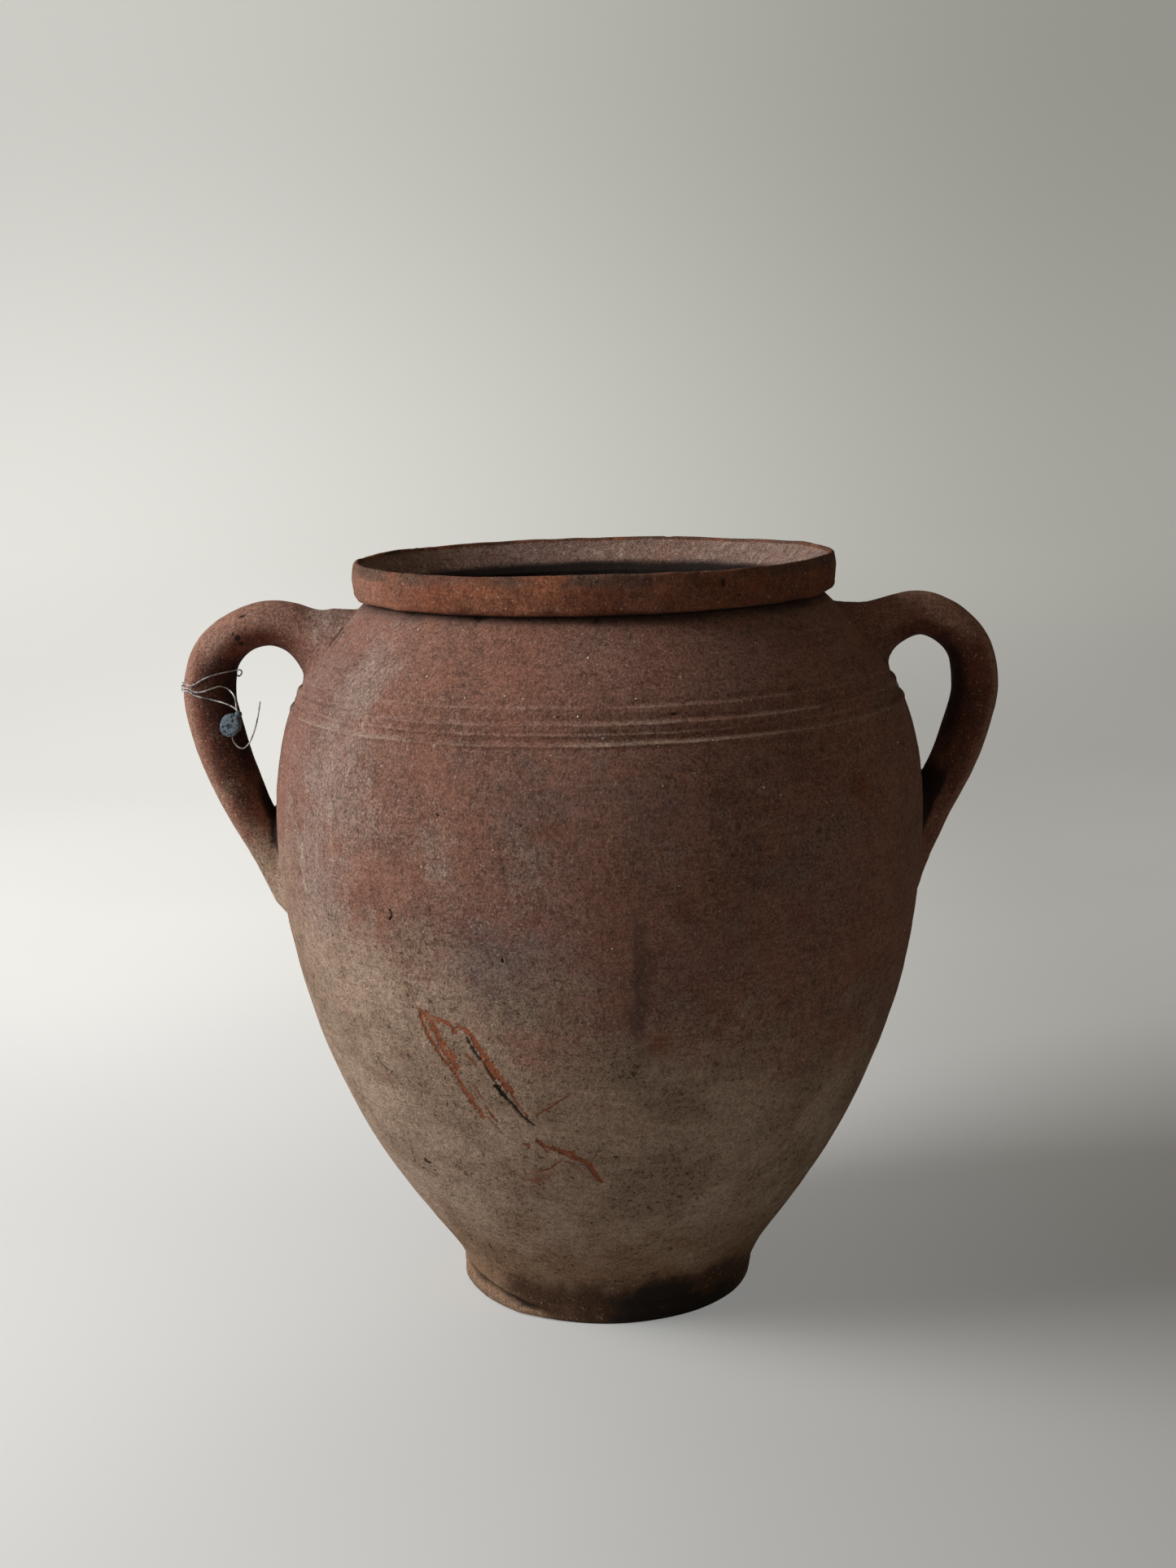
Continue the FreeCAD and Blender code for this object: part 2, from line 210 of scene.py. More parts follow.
# incised bands on the shoulder: height of the sharp lower edge, width and depth. The
# tool's lower side pushed up a small ridge of clay, where pale dust lies.
bands = (
    {"low": 0.3164, "width": 6.6 * mm, "depth": 1.6 * mm, "steep": 0.2, "ridge": 0.7 * mm,
     "dust": 1.1, "seed": 1.0},
    {"low": 0.3252, "width": 5.6 * mm, "depth": 1.4 * mm, "steep": 0.2, "ridge": 0.55 * mm,
     "dust": 0.95, "seed": 2.0},
    {"low": 0.3208, "width": 2.6 * mm, "depth": 0.55 * mm, "steep": 0.3, "ridge": 0.3 * mm,
     "dust": 0.6, "seed": 3.0},
    {"low": 0.3322, "width": 4.2 * mm, "depth": 0.6 * mm, "steep": 0.25, "ridge": 0.35 * mm,
     "dust": 0.65, "seed": 4.0},
)
bandWork = {
    "wander": 0.5 * mm, "ridgeBelow": 0.35 * mm, "ridgeWidth": 0.8 * mm,
    "dustFrom": (-0.7 * mm, 0.1 * mm), "dustFade": 1.5 * mm, "dustSize": 34 * mm, "leastDust": 0.2,
}


def bandCut(points):
    # how deep the bands cut, and how dusty they are
    turn = np.arctan2(points[:, 1], points[:, 0])
    cut, dust = np.zeros(len(points)), np.zeros(len(points))
    for band in bands:
        wander = np.array([noise.noise(Vector((math.cos(t) * 3, math.sin(t) * 3, band["seed"])))
                           for t in turn])
        above = points[:, 2] - band["low"] - wander * bandWork["wander"]
        steep = band["steep"] * band["width"]
        down = np.where(above < steep, above / steep, (band["width"] - above) / (band["width"] - steep))
        strength = 1 + 0.5 * wander
        cut += band["depth"] * strength * smoothRise(0, 1, np.clip(down, 0, 1))
        burr = np.exp(-((above + bandWork["ridgeBelow"]) / bandWork["ridgeWidth"]) ** 2)
        cut -= band["ridge"] * strength * burr
        line = smoothRise(*bandWork["dustFrom"], above)
        line *= np.exp(-np.clip(above, 0, 1) / bandWork["dustFade"])
        lying = noiseAt(points, bandWork["dustSize"], 6 + band["seed"]) + 0.5 * np.cos(turn + 1.5)
        lying = mix(bandWork["leastDust"], 1, smoothRise(-0.5, 0.5, lying))
        dust = np.maximum(dust, band["dust"] * lying * line)
    return cut, dust


def wallWobble(points):
    # how far the hand-thrown wall stands out of its true outline
    turn = np.arctan2(points[:, 1], points[:, 0])
    lobes = handWork["lobe"] * (np.cos(2 * turn + 0.6) + 0.5 * np.cos(3 * turn - 1.1))
    flat = points * np.array(handWork["ridgeSquash"])
    return lobes + noiseSum(points, handWork["lumps"]) + noiseSum(flat, handWork["ridges"])


def pixelRay(pixel):
    across = (pixel[0] - cameraLook["middlePixel"][0]) / cameraLook["focalPixels"]
    rise = (cameraLook["middlePixel"][1] - pixel[1]) / cameraLook["focalPixels"]
    return (cameraTurn @ Vector((across, rise, -1))).normalized()


def pixelTrail(pixel, near, far):
    # places in a row along the camera's view through a pixel
    start, way = np.array(cameraLook["place"]), np.array(pixelRay(pixel))
    return start + way * np.arange(near, far, cameraLook["rayStep"])[:, None]


def onWall(pixel):
    # the place on the jar's wall that the camera sees at a pixel
    trail = pixelTrail(pixel, *cameraLook["reach"])
    return trail[np.argmax(axisDistance(trail) < wallRadius(trail[:, 2]))]


# marks on the wall, placed by pixels of the photograph: raw scraped clay shows orange,
# sooty ones are dark. Widths and depths in millimetres.
scrapes = (
    {"name": "hairline", "width": 0.9, "depth": 0.15, "tint": 0.6,
     "pixels": ((484, 1176), (492, 1194), (501, 1213), (511, 1234), (515, 1243))},
    {"name": "leftHead", "width": 4.2, "depth": 0.3, "tint": 0.9,
     "pixels": ((518, 1245), (525, 1251), (531, 1257))},
    {"name": "leftEdge", "width": 2.2, "depth": 0.45, "tint": 1.1,
     "pixels": ((516, 1244), (523, 1265), (530, 1279), (537, 1291), (545, 1303), (553, 1312),
                (559, 1320))},
    {"name": "leftStrand", "width": 4.4, "depth": 0.3, "tint": 0.95,
     "pixels": ((533, 1262), (540, 1278), (546, 1290), (554, 1302), (560, 1312))},
    {"name": "leftDash", "width": 2.4, "depth": 0.25, "tint": 0.85,
     "pixels": ((546, 1282), (553, 1291), (559, 1300))},
    {"name": "leftLow", "width": 2.8, "depth": 0.35, "tint": 1.0,
     "pixels": ((559, 1320), (565, 1329), (570, 1341), (580, 1354), (588, 1365), (593, 1373))},
    {"name": "leftLowWide", "width": 3.0, "depth": 0.2, "tint": 0.75,
     "pixels": ((566, 1332), (573, 1343), (582, 1352))},
    {"name": "leftFork", "width": 1.8, "depth": 0.25, "tint": 0.85,
     "pixels": ((598, 1362), (604, 1370), (611, 1379))},
    {"name": "leftTail", "width": 1.0, "depth": 0.2, "tint": 0.75,
     "pixels": ((600, 1374), (606, 1381), (612, 1387), (619, 1395))},
    {"name": "midDash", "width": 2.4, "depth": 0.2, "tint": 0.7,
     "pixels": ((574, 1297), (579, 1302), (585, 1308))},
    {"name": "midSpot", "width": 2.0, "depth": 0.15, "tint": 0.6,
     "pixels": ((584, 1335), (588, 1342), (592, 1350))},
    {"name": "rightHead", "width": 2.6, "depth": 0.25, "tint": 0.9,
     "pixels": ((524, 1244), (530, 1249), (538, 1253), (546, 1256), (553, 1259), (560, 1268))},
    {"name": "rightTop", "width": 2.8, "depth": 0.25, "tint": 0.85,
     "pixels": ((563, 1262), (570, 1265), (577, 1271), (583, 1277))},
    {"name": "rightStrand", "width": 4.0, "depth": 0.4, "tint": 1.0,
     "pixels": ((582, 1278), (589, 1288), (595, 1298), (601, 1307), (608, 1317), (615, 1326),
                (622, 1335), (627, 1341))},
    {"name": "rightEdge", "width": 1.6, "depth": 0.5, "tint": 1.1,
     "pixels": ((590, 1299), (597, 1309), (603, 1318), (608, 1326))},
    {"name": "rightTail", "width": 2.2, "depth": 0.25, "tint": 0.6,
     "pixels": ((627, 1341), (633, 1352), (640, 1362), (648, 1372))},
    {"name": "branch", "width": 1.3, "depth": 0.2, "tint": 0.75,
     "pixels": ((659, 1371), (667, 1366), (675, 1362), (687, 1353), (694, 1349), (701, 1344))},
    {"name": "lowMark", "width": 3.0, "depth": 0.5, "tint": 1.2,
     "pixels": ((662, 1404), (668, 1408), (677, 1411), (687, 1414), (697, 1418), (702, 1417),
                (711, 1424), (720, 1428), (727, 1436), (732, 1444), (739, 1453))},
    {"name": "lowDrip", "width": 1.7, "depth": 0.25, "tint": 0.9,
     "pixels": ((668, 1408), (671, 1413), (674, 1416))},
    {"name": "lowStep", "width": 1.6, "depth": 0.2, "tint": 0.9,
     "pixels": ((697, 1420), (703, 1423), (709, 1426))},
    {"name": "lowBranch", "width": 1.0, "depth": 0.15, "tint": 0.8,
     "pixels": ((661, 1440), (670, 1438), (678, 1435), (684, 1430), (690, 1427))},
    {"name": "lowBranchEnd", "width": 1.3, "depth": 0.15, "tint": 0.7,
     "pixels": ((696, 1428), (704, 1430), (710, 1435), (716, 1440))},
    {"name": "lowSmudge", "width": 3.6, "depth": 0.1, "tint": 0.5,
     "pixels": ((644, 1450), (656, 1452), (668, 1449), (680, 1444))},
    {"name": "lowSpot", "width": 2.2, "depth": 0.2, "tint": 0.65,
     "pixels": ((644, 1406), (650, 1408))},
    {"name": "linkLine", "width": 1.1, "depth": 0.1, "tint": 0.5,
     "pixels": ((625, 1401), (630, 1402), (636, 1403))},
)
soots = (
    {"name": "strandGroove", "width": 1.7, "depth": 0.6, "tint": 0.75,
     "pixels": ((574, 1277), (578, 1284), (583, 1293), (590, 1302))},
    {"name": "edgeGroove", "width": 1.1, "depth": 0.5, "tint": 0.6,
     "pixels": ((597, 1312), (602, 1320), (607, 1328))},
    {"name": "darkGroove", "width": 2.8, "depth": 1.0, "tint": 1.0,
     "pixels": ((609, 1333), (614, 1340), (620, 1347), (626, 1353))},
    {"name": "darkTail", "width": 1.7, "depth": 0.8, "tint": 0.7,
     "pixels": ((624, 1350), (631, 1358), (637, 1366), (644, 1373), (650, 1378), (656, 1382))},
    {"name": "finePair", "width": 0.5, "depth": 0.15, "tint": 0.6,
     "pixels": ((744, 1400), (739, 1408), (734, 1416), (730, 1423), (726, 1429))},
    {"name": "hook", "width": 1.0, "depth": 0.7, "tint": 1.1,
     "pixels": ((478, 1118), (481, 1121), (481, 1126), (479, 1130))},
    {"name": "slash", "width": 1.0, "depth": 0.4, "tint": 0.8,
     "pixels": ((465, 1304), (470, 1309), (476, 1315))},
    {"name": "leftDot", "width": 2.8, "depth": 0.5, "tint": 0.8,
     "pixels": ((523, 1427), (527, 1430))},
    {"name": "leftDotLow", "width": 2.0, "depth": 0.4, "tint": 0.8,
     "pixels": ((530, 1435), (534, 1439))},
    {"name": "smudge", "width": 3.4, "depth": 0.15, "tint": 0.45,
     "pixels": ((561, 1433), (566, 1438), (573, 1444))},
    {"name": "dotPair", "width": 1.6, "depth": 0.5, "tint": 0.9,
     "pixels": ((593, 1419), (594, 1423))},
    {"name": "greyDot", "width": 2.0, "depth": 0.2, "tint": 0.45,
     "pixels": ((612, 1275), (615, 1278))},
    {"name": "rightDot", "width": 1.2, "depth": 0.5, "tint": 0.9,
     "pixels": ((743, 1341), (744, 1342))},
    {"name": "topDash", "width": 1.0, "depth": 0.6, "tint": 0.9,
     "pixels": ((617, 1179), (618, 1182))},
    {"name": "midSlash", "width": 0.5, "depth": 0.3, "tint": 0.8,
     "pixels": ((680, 1204), (686, 1205), (692, 1208))},
    {"name": "rightSlash", "width": 0.5, "depth": 0.3, "tint": 0.8,
     "pixels": ((763, 1203), (769, 1203))},
    {"name": "crackHigh", "width": 0.6, "depth": 0.5, "tint": 0.9,
     "pixels": ((635, 956), (633, 961), (631, 968))},
    {"name": "pitHigh", "width": 1.0, "depth": 0.6, "tint": 1.0,
     "pixels": ((634, 1013), (641, 1016))},
    {"name": "pitMiddle", "width": 0.9, "depth": 0.5, "tint": 0.9,
     "pixels": ((630, 1064), (632, 1065))},
    {"name": "pitLeft", "width": 1.1, "depth": 0.6, "tint": 1.0,
     "pixels": ((537, 1001), (538, 1002))},
    {"name": "pitFarLeft", "width": 1.0, "depth": 0.5, "tint": 0.9,
     "pixels": ((509, 1000), (511, 1001))},
    {"name": "neckHole", "width": 2.4, "depth": 1.4, "tint": 1.1,
     "pixels": ((586, 759), (591, 762), (596, 760))},
    {"name": "neckCrack", "width": 0.9, "depth": 0.8, "tint": 1.0,
     "pixels": ((572, 754), (577, 759), (583, 761), (590, 758))},
    {"name": "neckHoleRight", "width": 1.5, "depth": 0.9, "tint": 0.8,
     "pixels": ((729, 763), (736, 764))},
    {"name": "shoulderPit", "width": 1.1, "depth": 0.6, "tint": 1.0,
     "pixels": ((827, 877), (829, 879))},
    {"name": "shoulderPitRight", "width": 1.2, "depth": 0.6, "tint": 0.9,
     "pixels": ((930, 872), (932, 873))},
)
rootCrack = {"name": "rootCrack", "width": 1.9, "depth": 1.0, "tint": 1.0, "pixelsEachMm": 2.45,
             "pixels": ((423, 774), (418, 783), (412, 790), (408, 796))}

# broad patches of colour on the front by kind: pixel, radius in millimetres and strength
patches = {
    "grey": ((725, 960, 24, 0.5), (640, 985, 17, 0.35), (600, 1190, 21, 0.85),
             (640, 1240, 14, 0.5), (800, 1010, 22, 0.5), (870, 1180, 22, 0.45),
             (690, 1290, 15, 0.15), (960, 1080, 20, 0.4), (560, 945, 13, 0.3)),
    "pale": ((430, 1010, 20, 0.55), (540, 1060, 17, 0.5), (650, 1070, 16, 0.35),
             (400, 1150, 22, 0.7), (480, 1220, 18, 0.55), (930, 1235, 12, 0.5),
             (450, 830, 15, 0.4), (735, 1320, 17, 0.35), (385, 1080, 26, 0.8),
             (402, 950, 24, 0.8), (436, 865, 18, 0.7), (466, 800, 16, 0.6), (425, 1250, 20, 0.6),
             (820, 1060, 13, 0.35)),
    "red": ((640, 790, 30, 0.8), (830, 800, 30, 0.8), (520, 900, 20, 0.5), (455, 1075, 13, 0.6),
            (560, 955, 14, 0.5), (840, 945, 18, 0.6), (745, 1080, 20, 0.7), (580, 1030, 9, 0.6),
            (1010, 950, 18, 0.6), (1050, 1150, 20, 0.6), (500, 1190, 9, 0.6)),
    "rust": ((1060, 965, 7, 0.75), (560, 1048, 4, 0.6), (845, 1118, 7, 0.6), (985, 1125, 7, 0.5),
             (810, 1282, 7, 0.8), (935, 1240, 5, 0.6), (955, 1290, 5, 0.5), (740, 1360, 5, 0.6),
             (495, 1300, 6, 0.45), (480, 1330, 6, 0.4), (710, 1460, 8, 0.45), (660, 1445, 7, 0.4),
             (545, 1480, 12, 0.5)),
    "streak": ((787, 1150, 5, 0.85), (785, 1200, 5, 1.0), (784, 1250, 5, 0.95),
               (790, 1300, 7, 0.35), (430, 915, 6, 0.3)),
}
# the rest of the jar has like patches, strewn by chance: how many, and their radius in mm
strewn = {"grey": (26, 12, 26), "pale": (26, 10, 24), "red": (30, 10, 30), "rust": (40, 3, 9),
          "streak": (5, 4, 6)}

# height of the ragged edge of the buff clay, by the degrees round the jar from +X
buffEdge = ((0, 0.160), (45, 0.172), (90, 0.166), (135, 0.185), (180, 0.240), (207, 0.222),
            (230, 0.213), (243, 0.200), (254, 0.182), (276, 0.158), (301, 0.172), (340, 0.163),
            (360, 0.160))

# sooty stains round the base: middle, reach each way and strength
stains = (((0.036, -0.068, 0.003), (0.040, 0.05, 0.015), 1.0),
          ((0.024, -0.073, 0.013), (0.027, 0.05, 0.014), 0.9),
          ((0.010, -0.074, 0.001), (0.020, 0.05, 0.008), 0.6),
          ((0.058, -0.048, 0.004), (0.022, 0.03, 0.009), 0.6),
          ((-0.040, 0.062, 0.004), (0.03, 0.05, 0.012), 0.7))

# damp brown clay above the floor: highest on the front, between these degrees
dampLook = {
    "frontTurns": (208, 244), "fadeTurns": (315, 350), "low": 10 * mm, "rise": 16 * mm,
    "wander": 5 * mm, "wanderSize": 30 * mm, "soft": (-13 * mm, 14 * mm), "least": 0.35,
}


def markLine(mark):
    # a mark's line on the wall, with a point every millimetre or so
    ends = np.array([onWall(pixel) for pixel in mark["pixels"]])
    along = np.concatenate([[0], np.cumsum(np.linalg.norm(np.diff(ends, axis=0), axis=1))])
    steps = max(3, int(along[-1] / mm) + 1)
    spots = np.linspace(0, along[-1], steps)
    return np.stack([np.interp(spots, along, ends[:, i]) for i in range(3)], -1)


def lineDistance(points, line):
    # how far each point is from a line of short straight pieces
    best = np.full(len(points), 1.0)
    for start, end in zip(line, line[1:]):
        run = end - start
        share = np.clip((points - start) @ run / max(run @ run, 1e-12), 0, 1)
        near = start + share[:, None] * run
        best = np.minimum(best, np.linalg.norm(points - near, axis=1))
    return best


def placePatches():
    placed = [(kind, onWall((x, y)), size * mm, tint)
              for kind, rows in patches.items() for x, y, size, tint in rows]
    picker = np.random.default_rng(11)
    for kind, (count, least, most) in strewn.items():
        for _ in range(count):
            turn, height = picker.uniform(0.03, math.pi - 0.03), picker.uniform(0.05, 0.36)
            radius = float(wallRadius(height))
            place = np.array([radius * math.cos(turn), radius * math.sin(turn), height])
            placed.append((kind, place, picker.uniform(least, most) * mm, picker.uniform(0.4, 0.85)))
    return placed


def patchLayers(points):
    # one layer of strength for each kind of patch, with uneven edges
    warp = 1 + 0.45 * noiseAt(points, 16 * mm, 51) + 0.3 * noiseAt(points, 6 * mm, 52)
    layers = {kind: np.zeros(len(points)) for kind in patches}
    for kind, place, size, tint in placedPatches:
        shape = np.array([1, 1, 0.3]) if kind == "streak" else np.array([1, 1, 0.85])
        away = np.linalg.norm((points - place) * shape, axis=1) / size
        layer = tint * np.exp(-(away * warp) ** 2)
        layers[kind] = 1 - (1 - layers[kind]) * (1 - layer)
    turn = turnDegrees(points)
    edge = np.interp(turn, *zip(*buffEdge))
    layers["buff"] = edge - points[:, 2] + 0.02 * noiseAt(points, 45 * mm, 53)
    ragged = noiseSum(points, ((1, 13 * mm, 54), (0.6, 4.5 * mm, 55)))
    layers["stain"] = np.zeros(len(points))
    for place, reach, tint in stains:
        away = np.linalg.norm((points - np.array(place)) / np.array(reach), axis=1)
        stain = tint * (1 - smoothRise(0.3, 1.15, away + 0.4 * ragged))
        layers["stain"] = np.maximum(layers["stain"], stain)
    look = dampLook
    front = smoothRise(*look["frontTurns"], turn) * (1 - 0.6 * smoothRise(*look["fadeTurns"], turn))
    edge = look["low"] + look["rise"] * front + look["wander"] * noiseAt(points, look["wanderSize"], 56)
    layers["damp"] = mix(look["least"], 1, front) * (1 - smoothRise(*look["soft"], points[:, 2] - edge))
    return layers


placedPatches = placePatches()
scrapeLines = [(mark, markLine(mark)) for mark in scrapes]
sootLines = [(mark, markLine(mark)) for mark in soots + (rootCrack,)]
print("marks placed", len(scrapeLines) + len(sootLines))


def nearestMark(points, limit):
    # distance to the nearest mark, worked out only for points near the marks
    best = np.full(len(points), limit)
    for _, line in scrapeLines + sootLines:
        low, high = line.min(axis=0) - limit, line.max(axis=0) + limit
        close = np.all((points > low) & (points < high), axis=1)
        if close.any():
            best[close] = np.minimum(best[close], lineDistance(points[close], line))
    return best


def markStrength(points, lines):
    # how strongly each point is marked, with ragged edges, and how deep it is cut
    strength, depth = np.zeros(len(points)), np.zeros(len(points))
    for mark, line in lines:
        width = mark["width"] * mm
        low, high = line.min(axis=0) - 3 * width, line.max(axis=0) + 3 * width
        close = np.nonzero(np.all((points > low) & (points < high), axis=1))[0]
        if not len(close):
            continue
        place = points[close]
        uneven = min(1, width / (2 * mm))
        ragged = noiseSum(place, ((0.35, 3.2 * mm, 9), (0.5, 1.1 * mm, 5)))
        ragged = width * (mix(0.62, 0.5, uneven) + uneven * ragged)
        away = lineDistance(place, line)
        share = 1 - smoothRise(0.5, 1.3, away / np.maximum(ragged, 0.12 * width))
        strength[close] = np.maximum(strength[close], share * mark["tint"])
        depth[close] = np.maximum(depth[close], share * mark["depth"] * mm)
    return strength, depth


def spinProfile(profile, steps, closed=True, merge=0.01 * mm):
    # an outline of radii and heights spun round the upright axis
    made = bmesh.new()
    verts = [made.verts.new((radius, 0, height)) for radius, height in profile]
    ends = verts[1:] + verts[:1] if closed else verts[1:]
    edges = [made.edges.new(pair) for pair in zip(verts, ends)]
    bmesh.ops.spin(made, geom=verts + edges, cent=(0, 0, 0), axis=(0, 0, 1), dvec=(0, 0, 0),
                   angle=math.tau, steps=steps, use_merge=True)
    bmesh.ops.remove_doubles(made, verts=made.verts, dist=merge)
    bmesh.ops.recalc_face_normals(made, faces=made.faces)
    return made


def places(made):
    return np.array([v.co for v in made.verts])


def movePlaces(made, points):
    for vert, point in zip(made.verts, points):
        vert.co = point


def sharpen(made, degrees):
    limit = math.radians(degrees)
    for face in made.faces:
        face.smooth = True
    for edge in made.edges:
        edge.smooth = not (len(edge.link_faces) == 2 and edge.calc_face_angle(0) > limit)


def finishPiece(name, made, nodes, body, finish, attributes=None, degrees=42):
    sharpen(made, degrees)
    made.normal_update()
    mesh = bpy.data.meshes.new(name)
    made.to_mesh(mesh)
    made.free()
    for label, values in (attributes or {}).items():
        layer = mesh.attributes.new(label, "FLOAT", "POINT")
        layer.data.foreach_set("value", np.asarray(values, np.float32))
    piece = bpy.data.objects.new(name, mesh)
    bpy.context.collection.objects.link(piece)
    piece.data.materials.append(finish)
    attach(piece, body)
    if nodes:
        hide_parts(*nodes)
    print(name, "faces", len(mesh.polygons))


class Amount:
    # a value in a finish's nodes that takes part in plain sums

    def __init__(self, finish, socket):
        self.finish = finish
        self.socket = socket

    def maths(self, operation, first, second):
        return self.finish.node("Math", {"operation": operation}, {0: first, 1: second})

    def __add__(self, other):
        return self.maths("ADD", self, other)

    def __radd__(self, other):
        return self.maths("ADD", other, self)

    def __sub__(self, other):
        return self.maths("SUBTRACT", self, other)

    def __rsub__(self, other):
        return self.maths("SUBTRACT", other, self)

    def __mul__(self, other):
        return self.maths("MULTIPLY", self, other)

    def __rmul__(self, other):
        return self.maths("MULTIPLY", other, self)

    def most(self, other):
        return self.maths("MAXIMUM", self, other)

    def rise(self, low, high):
        # 0 below low, 1 above high, smooth between
        return self.finish.node("MapRange", {"interpolation_type": "SMOOTHSTEP"},
                                {"Value": self, "From Min": low, "From Max": high})

    def fall(self, low, high):
        return 1 - self.rise(low, high)


class Finish:
    # a material and the nodes that make it

    def __init__(self, name):
        self.material = bpy.data.materials.new(name)
        self.material.use_nodes = True
        self.tree = self.material.node_tree
        self.shader = self.tree.nodes["Principled BSDF"]

    def node(self, kind, settings=None, values=None, output=0):
        made = self.tree.nodes.new("ShaderNode" + kind)
        for key, value in (settings or {}).items():
            setattr(made, key, value)
        for key, value in (values or {}).items():
            if isinstance(value, Amount):
                self.tree.links.new(value.socket, made.inputs[key])
            else:
                made.inputs[key].default_value = value
        return Amount(self, made.outputs[output])

    def place(self):
        return self.node("TexCoord", output="Object")

    def axis(self, place, name):
        return self.node("SeparateXYZ", values={"Vector": place}, output=name)

    def stretch(self, place, scale):
        return self.node("VectorMath", {"operation": "MULTIPLY"}, {0: place, 1: scale})

    def cloud(self, place, scale, detail=2.0, rough=0.5):
        return self.node("TexNoise", values={"Vector": place, "Scale": scale, "Detail": detail,
                                             "Roughness": rough})

    def dots(self, place, scale, radius, share):
        # round dots of one radius in metres, in a share of the cells
        cells = {"Vector": place, "Scale": scale}
        away = self.node("TexVoronoi", values=cells)
        chance = self.axis(self.node("TexVoronoi", values=cells, output="Color"), "X")
        return away.fall(radius * scale * 0.6, radius * scale * 1.3) * chance.fall(share, share + 0.01)

    def blend(self, factor, first, second, way="MIX"):
        return self.node("Mix", {"data_type": "RGBA", "blend_type": way, "clamp_factor": True},
                         {0: factor, 6: first, 7: second}, output=2)

    def attribute(self, name):
        return self.node("Attribute", {"attribute_name": name}, output="Fac")

    def wear(self, colour=None, rough=None, height=None, **steady):
        # the shader's own sockets: linked where they change over the surface
        if colour is not None:
            self.tree.links.new(colour.socket, self.shader.inputs["Base Color"])
        if rough is not None:
            self.tree.links.new(rough.socket, self.shader.inputs["Roughness"])
        if height is not None:
            bump = self.node("Bump", values={"Strength": 1.0, "Distance": 1.0, "Height": height},
                             output="Normal")
            self.tree.links.new(bump.socket, self.shader.inputs["Normal"])
        for key, value in steady.items():
            self.shader.inputs[key.replace("_", " ")].default_value = value
        return self.material


def paint(red, green, blue):
    # a colour as it is seen, turned to the shader's straight scale
    seen = [v / 255 for v in (red, green, blue)]
    return tuple(v / 12.92 if v <= 0.04045 else ((v + 0.055) / 1.055) ** 2.4 for v in seen) + (1,)


# colours of the clay and of what lies on it, and of painted shade
clay = {
    "red": paint(146, 104, 87), "brown": paint(126, 91, 76), "wine": paint(134, 96, 86),
    "deepRed": paint(142, 95, 78), "bloom": paint(150, 131, 121), "grey": paint(106, 95, 93),
    "buff": paint(176, 152, 132), "tan": paint(151, 127, 107), "ochre": paint(138, 106, 78),
    "rust": paint(126, 72, 50), "raw": paint(166, 97, 66), "sootAndShade": paint(36, 29, 26),
    "speck": paint(66, 50, 42), "streak": paint(92, 72, 62), "dust": paint(186, 163, 144),
    "damp": paint(68, 44, 27), "lip": paint(142, 115, 94), "grit": paint(214, 196, 172),
    "lightingAndWear": paint(156, 116, 99), "paintedFrontShade": paint(76, 42, 31), "deep": paint(15, 9, 7),
    "toneLow": (0.55, 0.54, 0.53, 1), "toneHigh": (1.45, 1.45, 1.45, 1),
}
# each kind of piece has two colours of its own, some grey bloom and a strength for its bumps
wallLook = {"light": clay["red"], "dark": clay["brown"], "bloom": 0.36, "bump": 1.15}
collarLook = {"light": paint(156, 96, 67), "dark": paint(120, 69, 46), "bloom": 0.2, "bump": 1.5}
handleLook = {"light": paint(124, 76, 60), "dark": paint(98, 57, 44), "bloom": 0.12, "bump": 1.1}
# noises in the clay: scale, detail and roughness
clayNoise = {
    "cloud": (9, 8, 0.62), "patch": (27, 9, 0.68), "mottle": (105, 8, 0.74), "grain": (900, 3, 0.7),
    "striae": (190, 5, 0.65), "lines": (560, 4, 0.65), "sand": (330, 5, 0.75),
    "rusty": (34, 8, 0.7), "pepper": (380, 4, 0.7), "salt": (640, 2, 0.6),
}
# pinholes: scale, radius and share of the cells, and how high each noise stands
clayHoles = {"small": (170, 0.4 * mm, 0.3), "big": (60, 0.7 * mm, 0.16)}
clayBumps = {
    "grain": 0.34 * mm, "sand": 0.5 * mm, "mottle": 1.05 * mm, "lines": 0.32 * mm,
    "striae": 0.2 * mm, "small": 0.4 * mm, "big": 0.6 * mm, "pepper": 0.06 * mm,
}


